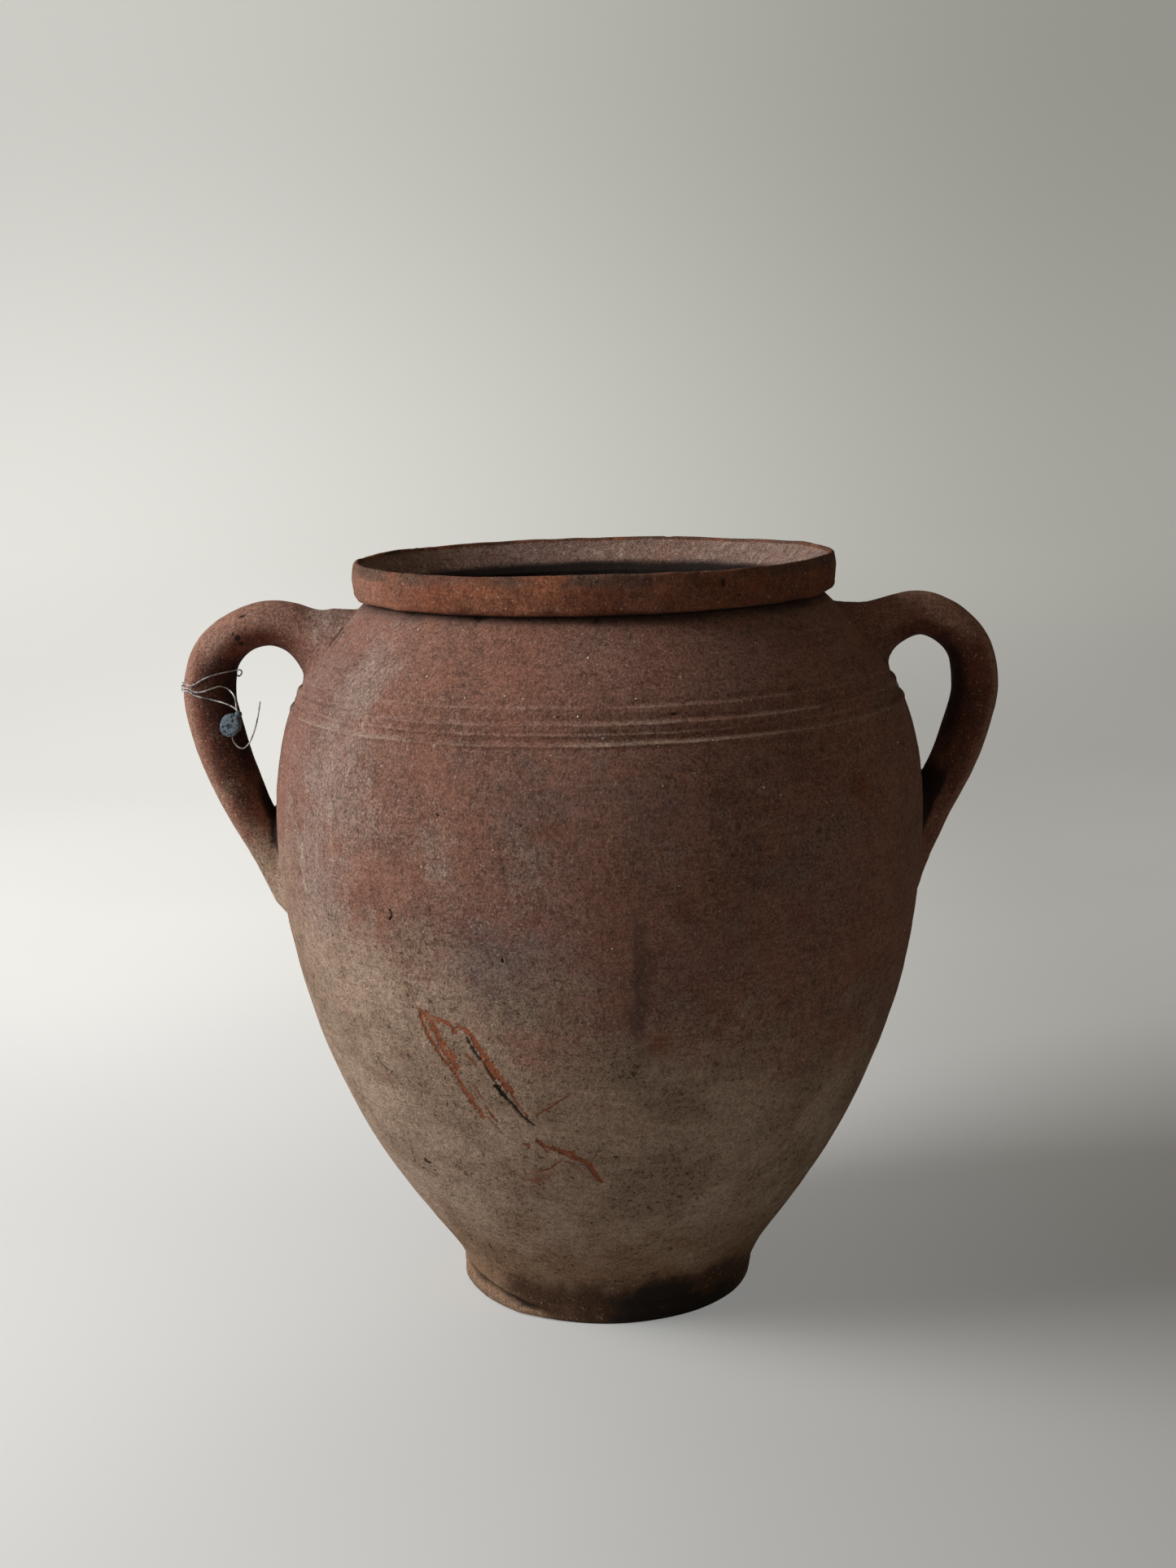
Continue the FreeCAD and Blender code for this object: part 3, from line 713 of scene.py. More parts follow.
def clayFinish(name, look):
    made = Finish(name)
    place = made.place()
    cloud = made.cloud(place, *clayNoise["cloud"])
    patch = made.cloud(made.stretch(place, (1, 1, 1.2)), *clayNoise["patch"])
    mottle = made.cloud(place, *clayNoise["mottle"])
    grain = made.cloud(place, *clayNoise["grain"])
    striae = made.cloud(made.stretch(place, (1, 1, 0.12)), *clayNoise["striae"])
    lines = made.cloud(made.stretch(place, (0.1, 0.1, 1)), *clayNoise["lines"])
    speckle = (mottle - 0.5) * 0.85 + (grain - 0.5) * 0.8
    wall = made.attribute("nearWall")

    def broken(layer, low=0.1, high=0.9):
        # a smooth layer given an uneven, speckled edge
        return (layer + (patch - 0.5) * 0.8 + speckle).rise(low, high) * layer.rise(0.02, 0.25)

    # ground colour: red clay with browner and winier patches, then the grey bloom on it
    base = made.blend(patch.rise(0.36, 0.64), clay["red"], clay["brown"])
    base = made.blend(cloud.rise(0.45, 0.65) * 0.7, base, clay["wine"])
    own = made.blend((patch + speckle * 0.3).rise(0.38, 0.62), look["light"], look["dark"])
    # painted shade on the handles' fronts, then paler clay where dust, wear and painted light lie
    for layer in ("paintedFrontShade", "lightingAndWear"):
        lightingAndWear = made.attribute(layer)
        strength = (lightingAndWear + speckle * 0.4 + (patch - 0.5) * 0.3).rise(0.1, 0.95) * lightingAndWear.rise(0.02, 0.3)
        own = made.blend(strength * 0.92, own, clay[layer])
    base = made.blend(1 - wall, base, own)
    dusty = (cloud * 0.4 + patch * 0.45 + lines * 0.12 + speckle * 0.6).rise(0.42, 0.66)
    base = made.blend(dusty * look["bloom"], base, clay["bloom"])
    base = made.blend(broken(made.attribute("red")) * 0.55, base, clay["deepRed"])
    base = made.blend(broken(made.attribute("grey")) * 0.7, base, clay["grey"])
    chalky = made.attribute("pale")
    base = made.blend(broken(chalky) * 0.7, base, clay["bloom"])
    base = made.blend((striae + speckle * 0.3).rise(0.54, 0.66) * chalky.rise(0.1, 0.7) * 0.5, base,
                      clay["dust"])

    # buff clay low down, behind a ragged edge, brown and stained round the foot
    edge = (made.attribute("buff") + (cloud - 0.5) * 0.17 + (patch - 0.5) * 0.13 + (mottle - 0.5) * 0.08
            + (grain - 0.5) * 0.03)
    pale = made.blend((patch + speckle * 0.25).rise(0.4, 0.62), clay["buff"], clay["tan"])
    buff = edge.rise(-0.036, 0.03)
    base = made.blend(buff * 0.94, base, pale)
    height = made.axis(place, "Z")
    low = (0.07 - height + (patch - 0.5) * 0.09).rise(-0.014, 0.05) * wall
    base = made.blend(low * 0.75, base, clay["ochre"])
    base = made.blend(broken(made.attribute("rust")) * 0.7, base, clay["rust"])
    base = made.blend(broken(made.attribute("streak")) * 0.8, base, clay["streak"])
    rusty = (made.cloud(place, *clayNoise["rusty"]) + speckle * 0.5).rise(0.6, 0.72)
    base = made.blend(rusty * 0.45, base, clay["rust"])
    damp = made.attribute("damp")
    wet = (damp + (patch - 0.5) * 1.3 + speckle).rise(0.15, 0.85) * damp.rise(0.02, 0.3)
    base = made.blend(wet * 0.92, base, clay["damp"])
    base = made.blend(broken(made.attribute("lip"), 0.2, 0.7) * 0.8, base, clay["lip"])
    dust = made.attribute("dust")
    lying = (dust + speckle * 0.8).rise(0.15, 1.1) * dust.rise(0.03, 0.2) * 0.54
    base = made.blend(lying, base, clay["dust"])

    # sand, dark specks, pinholes and pale grit
    sand = made.cloud(place, *clayNoise["sand"])
    tone = grain * 0.55 + sand * 0.35 + mottle * 0.1 + (lines - 0.5) * 0.12
    tone = made.blend(tone.rise(0.37, 0.63), clay["toneLow"], clay["toneHigh"])
    base = made.blend(1.0, base, tone, "MULTIPLY")
    peppered = (made.cloud(place, *clayNoise["pepper"]) + (patch - 0.5) * 0.3).rise(0.6, 0.65)
    base = made.blend(peppered * (0.55 + 0.25 * buff), base, clay["speck"])
    salted = made.cloud(made.stretch(place, (1.1, 1.05, 1)), *clayNoise["salt"]).rise(0.64, 0.7)
    base = made.blend(salted * 0.4, base, clay["grit"])
    holes = made.dots(place, *clayHoles["small"])
    bigHoles = made.dots(place, *clayHoles["big"])
    base = made.blend(holes.most(bigHoles) * 0.8, base, clay["sootAndShade"])

    # scratches that bare the clay, and soot in grooves, pits and under the foot; the same dark colour
    # is painted shade inside the jar, under the collar, in creases and on the handles' inner sides
    scrape = made.attribute("scrape")
    bared = (scrape * 1.2 + speckle * 2).rise(0.3, 0.9) * scrape.rise(0.03, 0.2)
    fresh = made.blend((mottle * 0.5 + sand * 0.5).rise(0.42, 0.58), clay["raw"], clay["rust"])
    base = made.blend(bared * 0.95, base, fresh)
    sootAndShade = made.attribute("sootAndShade")
    sooty = (sootAndShade * 1.2 + speckle * 0.8 + (patch - 0.5) * 0.5).rise(0.15, 1.0) * sootAndShade.rise(0.02, 0.15)
    base = made.blend(sooty * 0.93, base, clay["sootAndShade"])
    # painted shade, nearly black, inside the jar and deep in its mouth
    base = made.blend(made.attribute("deep"), base, clay["deep"])

    rough = 0.82 + 0.1 * patch + 0.1 * grain
    bumps = (grain - 0.5) * clayBumps["grain"]
    for cloudy, label in ((sand, "sand"), (mottle, "mottle"), (lines, "lines"), (striae, "striae")):
        bumps = bumps + (cloudy - 0.5) * clayBumps[label]
    for hole, label in ((holes, "small"), (bigHoles, "big"), (peppered, "pepper")):
        bumps = bumps - hole * clayBumps[label]
    return made.wear(base, rough, bumps * look["bump"], Specular_IOR_Level=0.22)


# the foot: a rolled lip shows on the left, and the belly's line runs on down elsewhere
footShape = {
    "steps": 360, "rows": 24, "radius": 74.8 * mm, "edge": 1.0 * mm, "roll": 3.2 * mm,
    "crease": 2.2 * mm, "creaseWidth": 1.2 * mm, "lipTurns": (110, 150, 222, 260),
    "lipTops": (11.5 * mm, 3.2 * mm), "lipWander": 0.8 * mm,
    "ragged": ((0.5 * mm, 9 * mm, 21), (0.25 * mm, 3.5 * mm, 22)),
}
wallFinish = clayFinish("wallClay", wallLook)
collarFinish = clayFinish("collarClay", collarLook)
handleFinish = clayFinish("handleClay", handleLook)
print("clay finishes made")

# walls: rows and steps of their meshes, and how strong the painted shade inside the jar and under the
# collar is
wallMesh = {
    "steps": 360, "outerRow": 2.8 * mm, "bandRow": 0.5 * mm, "bandTop": 0.339, "innerRow": 8 * mm,
    "neckRow": 1.6 * mm, "skin": 3 * mm, "lipReach": 8 * mm, "lipRow": 0.8 * mm, "insideShade": 1.0,
    "innerStart": 6 * mm, "topRow": 5 * mm, "neckShade": 0.55, "neckShadeReach": 8 * mm,
    "refine": ((9 * mm, 1), (5.5 * mm, 1), (3.2 * mm, 1)),
}


def rowsBetween(low, high, step):
    count = max(1, round((high - low) / step))
    return [mix(low, high, i / count) for i in range(count + 1)]


def innerWall(height):
    # radius inside the wall at a height, a wall's thickness in from the outline
    slope = wallSlope(height)
    return wallRadius(height) - jarShape["wallThick"] * math.sqrt(1 + slope * slope)


def bellyProfile():
    lipEnd = footHeight + wallMesh["lipReach"]
    heights = rowsBetween(footHeight, lipEnd, wallMesh["lipRow"])
    heights += rowsBetween(lipEnd, seamHeight, wallMesh["outerRow"])[1:]
    outer = [(float(wallRadius(z)), z) for z in heights]
    heights = rowsBetween(footHeight + wallMesh["innerStart"], seamHeight, wallMesh["innerRow"])
    inner = [(float(innerWall(z)), z) for z in heights[::-1]]
    return outer + inner + [(jarShape["floorRadius"], footHeight)]


def shoulderProfile():
    heights = rowsBetween(seamHeight, wallMesh["bandTop"], wallMesh["bandRow"])
    heights += rowsBetween(wallMesh["bandTop"], neckHeight, wallMesh["neckRow"])[1:]
    outer = [(float(wallRadius(z)), z) for z in heights]
    throat = [(jarShape["throatRadius"], z)
              for z in rowsBetween(jarShape["throatLow"], neckHeight, wallMesh["neckRow"])[::-1]]
    top = mix(jarShape["bellyHeight"], neckHeight, jarShape["innerShare"])
    inner = [(float(innerWall(z)), z) for z in rowsBetween(seamHeight, top, wallMesh["topRow"])[::-1]]
    return outer + throat + inner


def footLip(points):
    # the rolled lip of the foot, which shows on the left, and the crease above it
    look = footShape
    turn = turnDegrees(points)
    first, full, fade, last = look["lipTurns"]
    lip = smoothRise(first, full, turn) * (1 - smoothRise(fade, last, turn))
    lip *= 1 + 0.5 * noiseAt(points, 12 * mm, 26)
    top = mix(*look["lipTops"], smoothRise(full + 40, last - 4, turn))
    top += look["lipWander"] * noiseAt(points, 9 * mm, 27)
    height = points[:, 2]
    roll = np.sqrt(np.clip(1 - ((height - top * 0.5) / (top * 0.5)) ** 2, 0, 1))
    crease = np.exp(-((height - top - 0.7 * mm) / look["creaseWidth"]) ** 2)
    return lip * (look["roll"] * roll - look["crease"] * crease), lip * roll, lip * crease


def pressWall(made, cut):
    # every point goes to its place on the uneven wall; inner ones get their own unevenness
    points = places(made)
    radius = axisDistance(points)
    outer = radius > wallRadius(points[:, 2]) - wallMesh["skin"]
    target = np.where(outer, wallRadius(points[:, 2]), radius)
    ideal = points * (target / np.maximum(radius, 1e-6))[:, None]
    ideal[:, 2] = points[:, 2]
    shift = wallWobble(ideal) + np.where(outer, footLip(ideal)[0], 0)
    dust = np.zeros(len(points))
    if cut:
        depth, dust = bandCut(ideal)
        shift = shift - np.where(outer, depth, 0)
        dust = np.where(outer, dust, 0)
    return pushOut(ideal, shift), outer, dust


def wallMarks(points, outer, dust, made):
    # cuts the scratches and pits into the wall, and gives the finish its layers
    scrape, scrapeDepth = markStrength(points, scrapeLines)
    sootAndShade, sootDepth = markStrength(points, sootLines)
    depth = np.where(outer, np.maximum(scrapeDepth, sootDepth), 0)
    movePlaces(made, pushOut(points, -depth))
    marks = patchLayers(points)
    marks["scrape"] = np.where(outer, scrape, 0)
    # the inner faces get painted shade, dark all over; the outer ones get the marks and stains
    marks["sootAndShade"] = np.where(outer, np.maximum(sootAndShade, marks.pop("stain")), wallMesh["insideShade"])
    marks["dust"] = dust
    # a band of painted shade on the shoulder just under the collar
    neck = smoothRise(neckHeight - wallMesh["neckShadeReach"], neckHeight, points[:, 2]) * outer
    marks["sootAndShade"] = np.maximum(marks["sootAndShade"], wallMesh["neckShade"] * neck)
    marks["deep"] = np.where(outer, 0.0, wallMesh["insideShade"])
    marks["nearWall"] = np.ones(len(points))
    return marks


def refineMarks(made):
    # smaller faces round the marks
    for reach, cuts in wallMesh["refine"]:
        points = places(made)
        near = nearestMark(points, 15 * mm) < reach
        near &= axisDistance(points) > wallRadius(points[:, 2]) - wallMesh["skin"]
        made.verts.index_update()
        edges = [e for e in made.edges if near[e.verts[0].index] and near[e.verts[1].index]]
        bmesh.ops.subdivide_edges(made, edges=edges, cuts=cuts, use_grid_fill=True)


def makeBelly():
    made = spinProfile(bellyProfile(), wallMesh["steps"])
    refineMarks(made)
    points, outer, dust = pressWall(made, False)
    marks = wallMarks(points, outer, dust, made)
    finishPiece("bellyWall", made, ["belly_wall"], "jar", wallFinish, marks)


def makeShoulder():
    made = spinProfile(shoulderProfile(), wallMesh["steps"])
    points, outer, dust = pressWall(made, True)
    marks = wallMarks(points, outer, dust, made)
    finishPiece("shoulderWall", made, ["shoulder_wall"], "jar", wallFinish, marks)


# the collar: its edges, chips and pits, and how it rises, sags and waves
collarShape = {
    "chamfer": 3.4 * mm, "under": 5.4 * mm, "bulge": 0.6 * mm,
    "lipRound": 2.0 * mm, "lipWidth": 4.0 * mm, "steps": 420, "row": 1.1 * mm,
    "chips": 52, "chipDepth": 1.2 * mm, "chipSize": 3.4 * mm,
    "pits": 420, "pitDepth": 0.8 * mm, "pitSize": 1.5 * mm,
    "crack": (890, 715), "throwing": 0.5 * mm, "throwingSize": 2.4 * mm,
    "lift": ((0.7 * mm, 60 * mm, 11), (0.35 * mm, 14 * mm, 12)),
    "sag": ((1.3 * mm, 26 * mm, 16), (0.6 * mm, 9 * mm, 17)),
    "rough": ((0.2 * mm, 7 * mm, 13), (0.1 * mm, 2.6 * mm, 14)), "wave": ((0.5 * mm, 30 * mm, 15),),
    "throatFade": (3.0 * mm, 6.4 * mm), "creviceFade": (0.4 * mm, 3.2 * mm),
}


def onCollar(pixel):
    # the place on the collar's face that the camera sees at a pixel
    trail = pixelTrail(pixel, *cameraLook["reach"])
    return trail[np.argmax(axisDistance(trail) < collarRadius)]


def collarProfile():
    look = collarShape
    low, high = neckHeight, jarHeight
    turnUnder = [(jarShape["neckRadius"], low), (jarShape["neckRadius"] + 1.6 * mm, low + 0.5 * mm)]
    turnUnder += [(collarRadius - look["chamfer"] * (1 - math.sin(a)),
                   low + look["under"] - (look["under"] - 1.2 * mm) * math.cos(a))
                  for a in (math.pi / 2 * i / 6 for i in range(6))]
    face = [(collarRadius + look["bulge"] * math.sin(math.pi * i / 14) - 0.2 * mm,
             mix(low + look["under"], high - look["lipRound"], i / 14)) for i in range(15)]
    middle = collarRadius - look["lipWidth"] / 2
    half = look["lipWidth"] / 2 - 0.2 * mm
    lip = [(middle + half * math.cos(a), high - look["lipRound"] + look["lipRound"] * math.sin(a))
           for a in (math.pi * i / 8 for i in range(1, 8))]
    throat, foot = jarShape["throatRadius"], jarShape["throatHeight"]
    count = round((high - look["lipRound"] - foot) / look["row"])
    inside = [(mix(collarRadius - look["lipWidth"], throat, i / count),
               mix(high - look["lipRound"], foot, i / count)) for i in range(count + 1)]
    return turnUnder + face + lip + inside + [(throat, low)]


def collarChips(points):
    # chips along the edges and rows of small pits on the lip, as one depth
    look = collarShape
    chip = np.zeros(len(points))
    picker = np.random.default_rng(5)
    marks = [(onCollar(look["crack"]), look["chipSize"] * 0.8, look["chipDepth"] * 1.4)]
    for _ in range(look["chips"]):
        angle, size = picker.uniform(0, math.tau), look["chipSize"] * picker.uniform(0.4, 1.2)
        edge = picker.choice([0, 1, 2])
        height = jarHeight if edge else neckHeight + look["under"] * 0.5
        out = collarRadius if edge != 2 else collarRadius - look["lipWidth"]
        centre = np.array([math.cos(angle) * out, math.sin(angle) * out, height])
        marks.append((centre, size, look["chipDepth"] * picker.uniform(0.4, 1)))
    for _ in range(look["pits"]):
        angle, size = picker.uniform(0, math.tau), look["pitSize"] * picker.uniform(0.5, 1.2)
        height = jarHeight - abs(picker.normal(0, 3 * mm))
        centre = np.array([math.cos(angle), math.sin(angle), 0]) * collarRadius
        centre[2] = height
        marks.append((centre, size, look["pitDepth"] * picker.uniform(0.4, 1)))
    for centre, size, depth in marks:
        near = 1 - smoothRise(0.3, 1.0, np.linalg.norm(points - centre, axis=1) / size)
        chip = np.maximum(chip, near * depth)
    return chip


def makeCollar():
    look = collarShape
    made = spinProfile(collarProfile(), look["steps"])
    points = places(made)
    radius = axisDistance(points)
    turn = np.arctan2(points[:, 1], points[:, 0])
    base = smoothRise(neckHeight, neckHeight + 3 * mm, points[:, 2])
    side = np.stack([np.cos(turn) * collarRadius, np.sin(turn) * collarRadius,
                     np.full(len(turn), 0.5)], -1)
    lift, sag, wave = (noiseSum(side, look[name]) for name in ("lift", "sag", "wave"))
    top = smoothRise(neckHeight + 6 * mm, jarHeight, points[:, 2])
    under = (1 - smoothRise(neckHeight + 3 * mm, neckHeight + 10 * mm, points[:, 2])) * base
    inner = radius < collarRadius - look["lipWidth"] + 0.2 * mm
    flat = points * np.array([0.1, 0.1, 1.0])
    throwing = look["throwing"] * noiseAt(flat, look["throwingSize"], 18) * inner
    uneven = noiseSum(points, look["rough"]) + wave * base + throwing
    chip = collarChips(points)
    out = np.sign(radius - (collarRadius - look["lipWidth"] / 2))
    moved = pushOut(points, wallWobble(points) + uneven * base - chip * out * 0.7)
    moved[:, 2] += lift * top + (sag * under) * (radius > collarRadius - 6 * mm) - chip * 0.6 * top
    movePlaces(made, moved)
    marks = patchLayers(points)
    marks.pop("stain")
    # painted shade in the crevice under the collar; chips and pits are darkened too
    crevice = 0.7 * (1 - smoothRise(*look["creviceFade"], points[:, 2] - neckHeight)) * (radius > 0.11)
    # painted shade, nearly black, low in the mouth's funnel just above the throat
    above = points[:, 2] - jarShape["throatHeight"] + throwing * 3
    throat = inner * (1 - smoothRise(*look["throatFade"], above))
    marks["sootAndShade"] = np.maximum(crevice, chip / look["chipDepth"] * 0.5)
    marks["deep"] = throat * 0.96
    strip = smoothRise(jarHeight - 8 * mm, jarHeight - 3 * mm, points[:, 2]) * ~inner
    marks["streak"] = np.maximum(marks["streak"], strip * (0.62 + 0.8 * noiseAt(side, 22 * mm, 19)))
    glow = smoothRise(0, 3 * mm, points[:, 2] - neckHeight) * (1 - strip) * ~inner
    marks["rust"] = np.maximum(marks["rust"], glow * (0.3 + 0.5 * noiseAt(side, 30 * mm, 20)))
    marks["pale"] = np.where(inner, np.maximum(marks["pale"], 0.6), 0.3 * marks["pale"])
    # the collar's left side is paler: dust, with painted sheen of the light falling from the left
    marks["lightingAndWear"] = 0.55 * smoothRise(0.45, 0.95, -np.cos(turn)) * ~inner
    marks["nearWall"] = np.where(inner, 1.0, 0.0)
    marks["buff"] = np.full(len(points), -1.0)
    finishPiece("rimCollar", made, ["rim_collar"], "jar", collarFinish, marks)


def makeFoot():
    look = footShape
    outer = [(look["radius"] - look["edge"], 0)]
    outer += [(mix(look["radius"], jarShape["startRadius"], i / look["rows"]),
               mix(0.9 * mm, footHeight, i / look["rows"])) for i in range(look["rows"] + 1)]
    inner = [(jarShape["floorRadius"], footHeight), (jarShape["floorRadius"], 0)]
    made = spinProfile(outer + inner, look["steps"])
    points = places(made)
    body = np.clip((axisDistance(points) - 0.068) / 0.005, 0, 1)
    height = points[:, 2]
    shape, roll, crease = footLip(points)
    ragged = noiseSum(points, look["ragged"])
    edge = smoothRise(0.2 * mm, 2 * mm, height) * (1 - smoothRise(10 * mm, footHeight, height))
    shift = wallWobble(points) + shape * smoothRise(-0.5 * mm, 1.5 * mm, height) + ragged * edge
    movePlaces(made, pushOut(points, shift * body))
    marks = patchLayers(points)
    # stains, and painted shade in the crease above the rolled lip
    marks["sootAndShade"] = np.maximum(marks.pop("stain"), crease * body * 0.8)
    marks["lip"] = roll * body
    marks["damp"] *= 1 - np.clip(roll, 0, 1)
    marks["nearWall"] = np.ones(len(points))
    finishPiece("footRing", made, ["foot_ring"], "jar", wallFinish, marks)


# the floor: rings of its two faces, its rounded edge below and its unevenness
floorShape = {
    "steps": 96, "rings": 12, "underRings": 6, "edge": 1.2 * mm, "ripple": 0.2 * mm,
    "uneven": ((0.4 * mm, 12 * mm, 31),),
}


def makeFloor():
    look, radius, thick = floorShape, jarShape["floorRadius"], footHeight
    rings = [(radius * i / look["rings"], thick + look["ripple"] * math.cos(i * 1.9))
             for i in range(look["rings"])]
    under = [(radius, look["edge"]), (radius - look["edge"], 0)]
    under += [(radius * i / look["underRings"], 0) for i in range(look["underRings"] - 1, -1, -1)]
    made = spinProfile(rings + [(radius, thick)] + under, look["steps"], closed=False)
    points = places(made)
    inner = points[:, 2] > thick - 1 * mm
    rim = axisDistance(points) < radius - 1 * mm
    points[:, 2] += noiseSum(points, look["uneven"]) * inner * rim
    movePlaces(made, points)
    marks = {"nearWall": np.ones(len(points)), "buff": np.full(len(points), 1.0)}
    finishPiece("baseDisc", made, ["base_disc"], "jar", wallFinish, marks)


# grains of lime in the clay, some seen at these pixels and the rest strewn by chance
limeLook = {
    "seen": ((524, 832), (571, 858), (620, 856), (643, 859), (535, 884), (534, 916), (434, 916),
             (723, 809), (547, 713), (685, 712), (725, 746), (514, 774), (604.6, 1260), (610.5, 1231)),
    "strewn": 150, "heights": (0.2, 0.365), "least": 0.3 * mm, "most": 0.75 * mm, "seenSize": 0.75 * mm,
    "colours": (paint(226, 212, 192), paint(178, 158, 136)),
}


def makeGrains():
    look = limeLook
    picker = np.random.default_rng(23)
    spots = [(onWall(pixel), look["seenSize"]) for pixel in look["seen"]]
    for _ in range(look["strewn"]):
        turn, height = picker.uniform(0, math.tau), picker.uniform(*look["heights"])
        radius = float(wallRadius(height))
        spots.append((np.array([radius * math.cos(turn), radius * math.sin(turn), height]),
                      mix(look["least"], look["most"], picker.uniform() ** 2)))
    centres = np.array([place for place, size in spots])
    depth, _ = bandCut(centres)
    shift = wallWobble(centres) - np.where(centres[:, 2] > seamHeight, depth, 0)
    made = bmesh.new()
    for (place, size), out in zip(spots, shift):
        radius = math.hypot(place[0], place[1])
        centre = Vector(place) + Vector((place[0], place[1], 0)) / radius * (out - 0.25 * size)
        squash = Matrix.Diagonal((1, picker.uniform(0.6, 1), picker.uniform(0.6, 1), 1))
        bmesh.ops.create_icosphere(made, subdivisions=2, radius=size,
                                   matrix=Matrix.Translation(centre) @ squash)
    finish = Finish("lime")
    colour = finish.blend(finish.cloud(finish.place(), 1500, 2).rise(0.4, 0.6), *look["colours"])
    finishPiece("limeGrains", made, [], "jar", finish.wear(colour, Roughness=0.8))


# handles: rows from inside the shoulder round to inside the belly, as shares of the
# reach, of the rise, of the half thickness and of the half width
handles = {
    "left": {
        "side": -1, "thick": 27.2 * mm, "width": 30.5 * mm, "top": 0.3587, "low": 0.193,
        "reach": 0.2014, "upperEnd": 4, "lowerEnd": 14, "frontShadeStrength": 1.0, "slitShade": 0.5,
        "rows": ((.560, .870, 1.95, 1.75), (.630, .900, 1.75, 1.60), (.691, .930, 1.50, 1.40),
                 (.742, .962, 1.04, 1.12), (.788, .990, .905, .98), (.840, 1.000, .855, .94),
                 (.899, .983, .825, .94), (.946, .947, .860, .95), (.983, .889, .930, .97),
                 (.9975, .823, .990, 1.0), (1.0, .757, 1.0, 1.0), (.986, .669, 1.01, 1.0),
                 (.965, .577, .985, .98), (.937, .481, .930, .96), (.898, .373, .850, .95),
                 (.851, .265, .830, 1.04), (.810, .152, .790, 1.20), (.774, .040, .740, 1.30)),
    },
    "right": {
        "side": 1, "thick": 24.2 * mm, "width": 30.5 * mm, "top": 0.3558, "low": 0.193,
        "reach": 0.1974, "upperEnd": 4, "lowerEnd": 14, "frontShadeStrength": 0.5, "slitShade": -0.1,
        "rows": ((.560, .868, 2.15, 1.75), (.630, .897, 1.95, 1.60), (.697, .928, 1.66, 1.40),
                 (.750, .962, 1.16, 1.12), (.800, .988, 1.00, .98), (.855, 1.000, .945, .94),
                 (.914, .976, .925, .94), (.962, .928, .930, .95), (.989, .873, .955, .97),
                 (.999, .807, .985, 1.0), (1.0, .750, .985, 1.0), (.984, .662, 1.0, 1.0),
                 (.957, .563, 1.0, .98), (.918, .459, .960, .96), (.877, .358, .900, .95),
                 (.838, .257, .880, 1.04), (.802, .152, .840, 1.20), (.772, .040, .780, 1.30)),
    },
}
# both handles: mesh steps, fillets at the roots, unevenness and where painted shade and dirt lie
strapLook = {
    "around": 84, "ringStep": 1.5 * mm, "rootStep": 0.6 * mm, "sunk": 2.5 * mm,
    "topFillet": 11 * mm, "lowFillet": 6 * mm, "innerFillet": 5 * mm, "feather": 20 * mm,
    "lumps": ((0.5 * mm, 26 * mm, 41), (0.14 * mm, 6 * mm, 42)), "blendReach": 20 * mm,
    "reach": (1.05, 1.25), "archHeights": (0.334, 0.353), "shadeHeights": (0.2, 0.24),
    "slitShadeTop": (0.262, 0.292), "slitShadeFoot": (0.196, 0.216), "creaseTop": (0.28, 0.3),
    "creaseReach": (0.5 * mm, 8 * mm),
}

# soot, pits and patches of colour on the handles, by pixel
strapSpots = (
    {"name": "smudge", "pixel": (292, 784), "size": 2.6, "depth": 0.1, "tint": 0.9},
    {"name": "smudgeLow", "pixel": (297, 791), "size": 1.8, "depth": 0.1, "tint": 0.7},
    {"name": "smudgeLeft", "pixel": (286, 779), "size": 1.5, "depth": 0.2, "tint": 0.7},
    {"name": "pit", "pixel": (297, 757), "size": 1.6, "depth": 0.7, "tint": 1.0},
    {"name": "pitRight", "pixel": (301, 755), "size": 1.1, "depth": 0.6, "tint": 0.9},
)
strapPatches = {
    "pale": ((262, 790, 11, 0.35), (330, 762, 13, 0.25), (405, 762, 14, 0.7), (262, 900, 5, 0.4),
             (1154, 758, 6, 0.3)),
    "rust": ((1122, 752, 9, 0.6), (300, 960, 9, 0.4), (1195, 830, 9, 0.5)),
    "grey": ((390, 772, 12, 0.5), (1120, 745, 12, 0.4)),
}


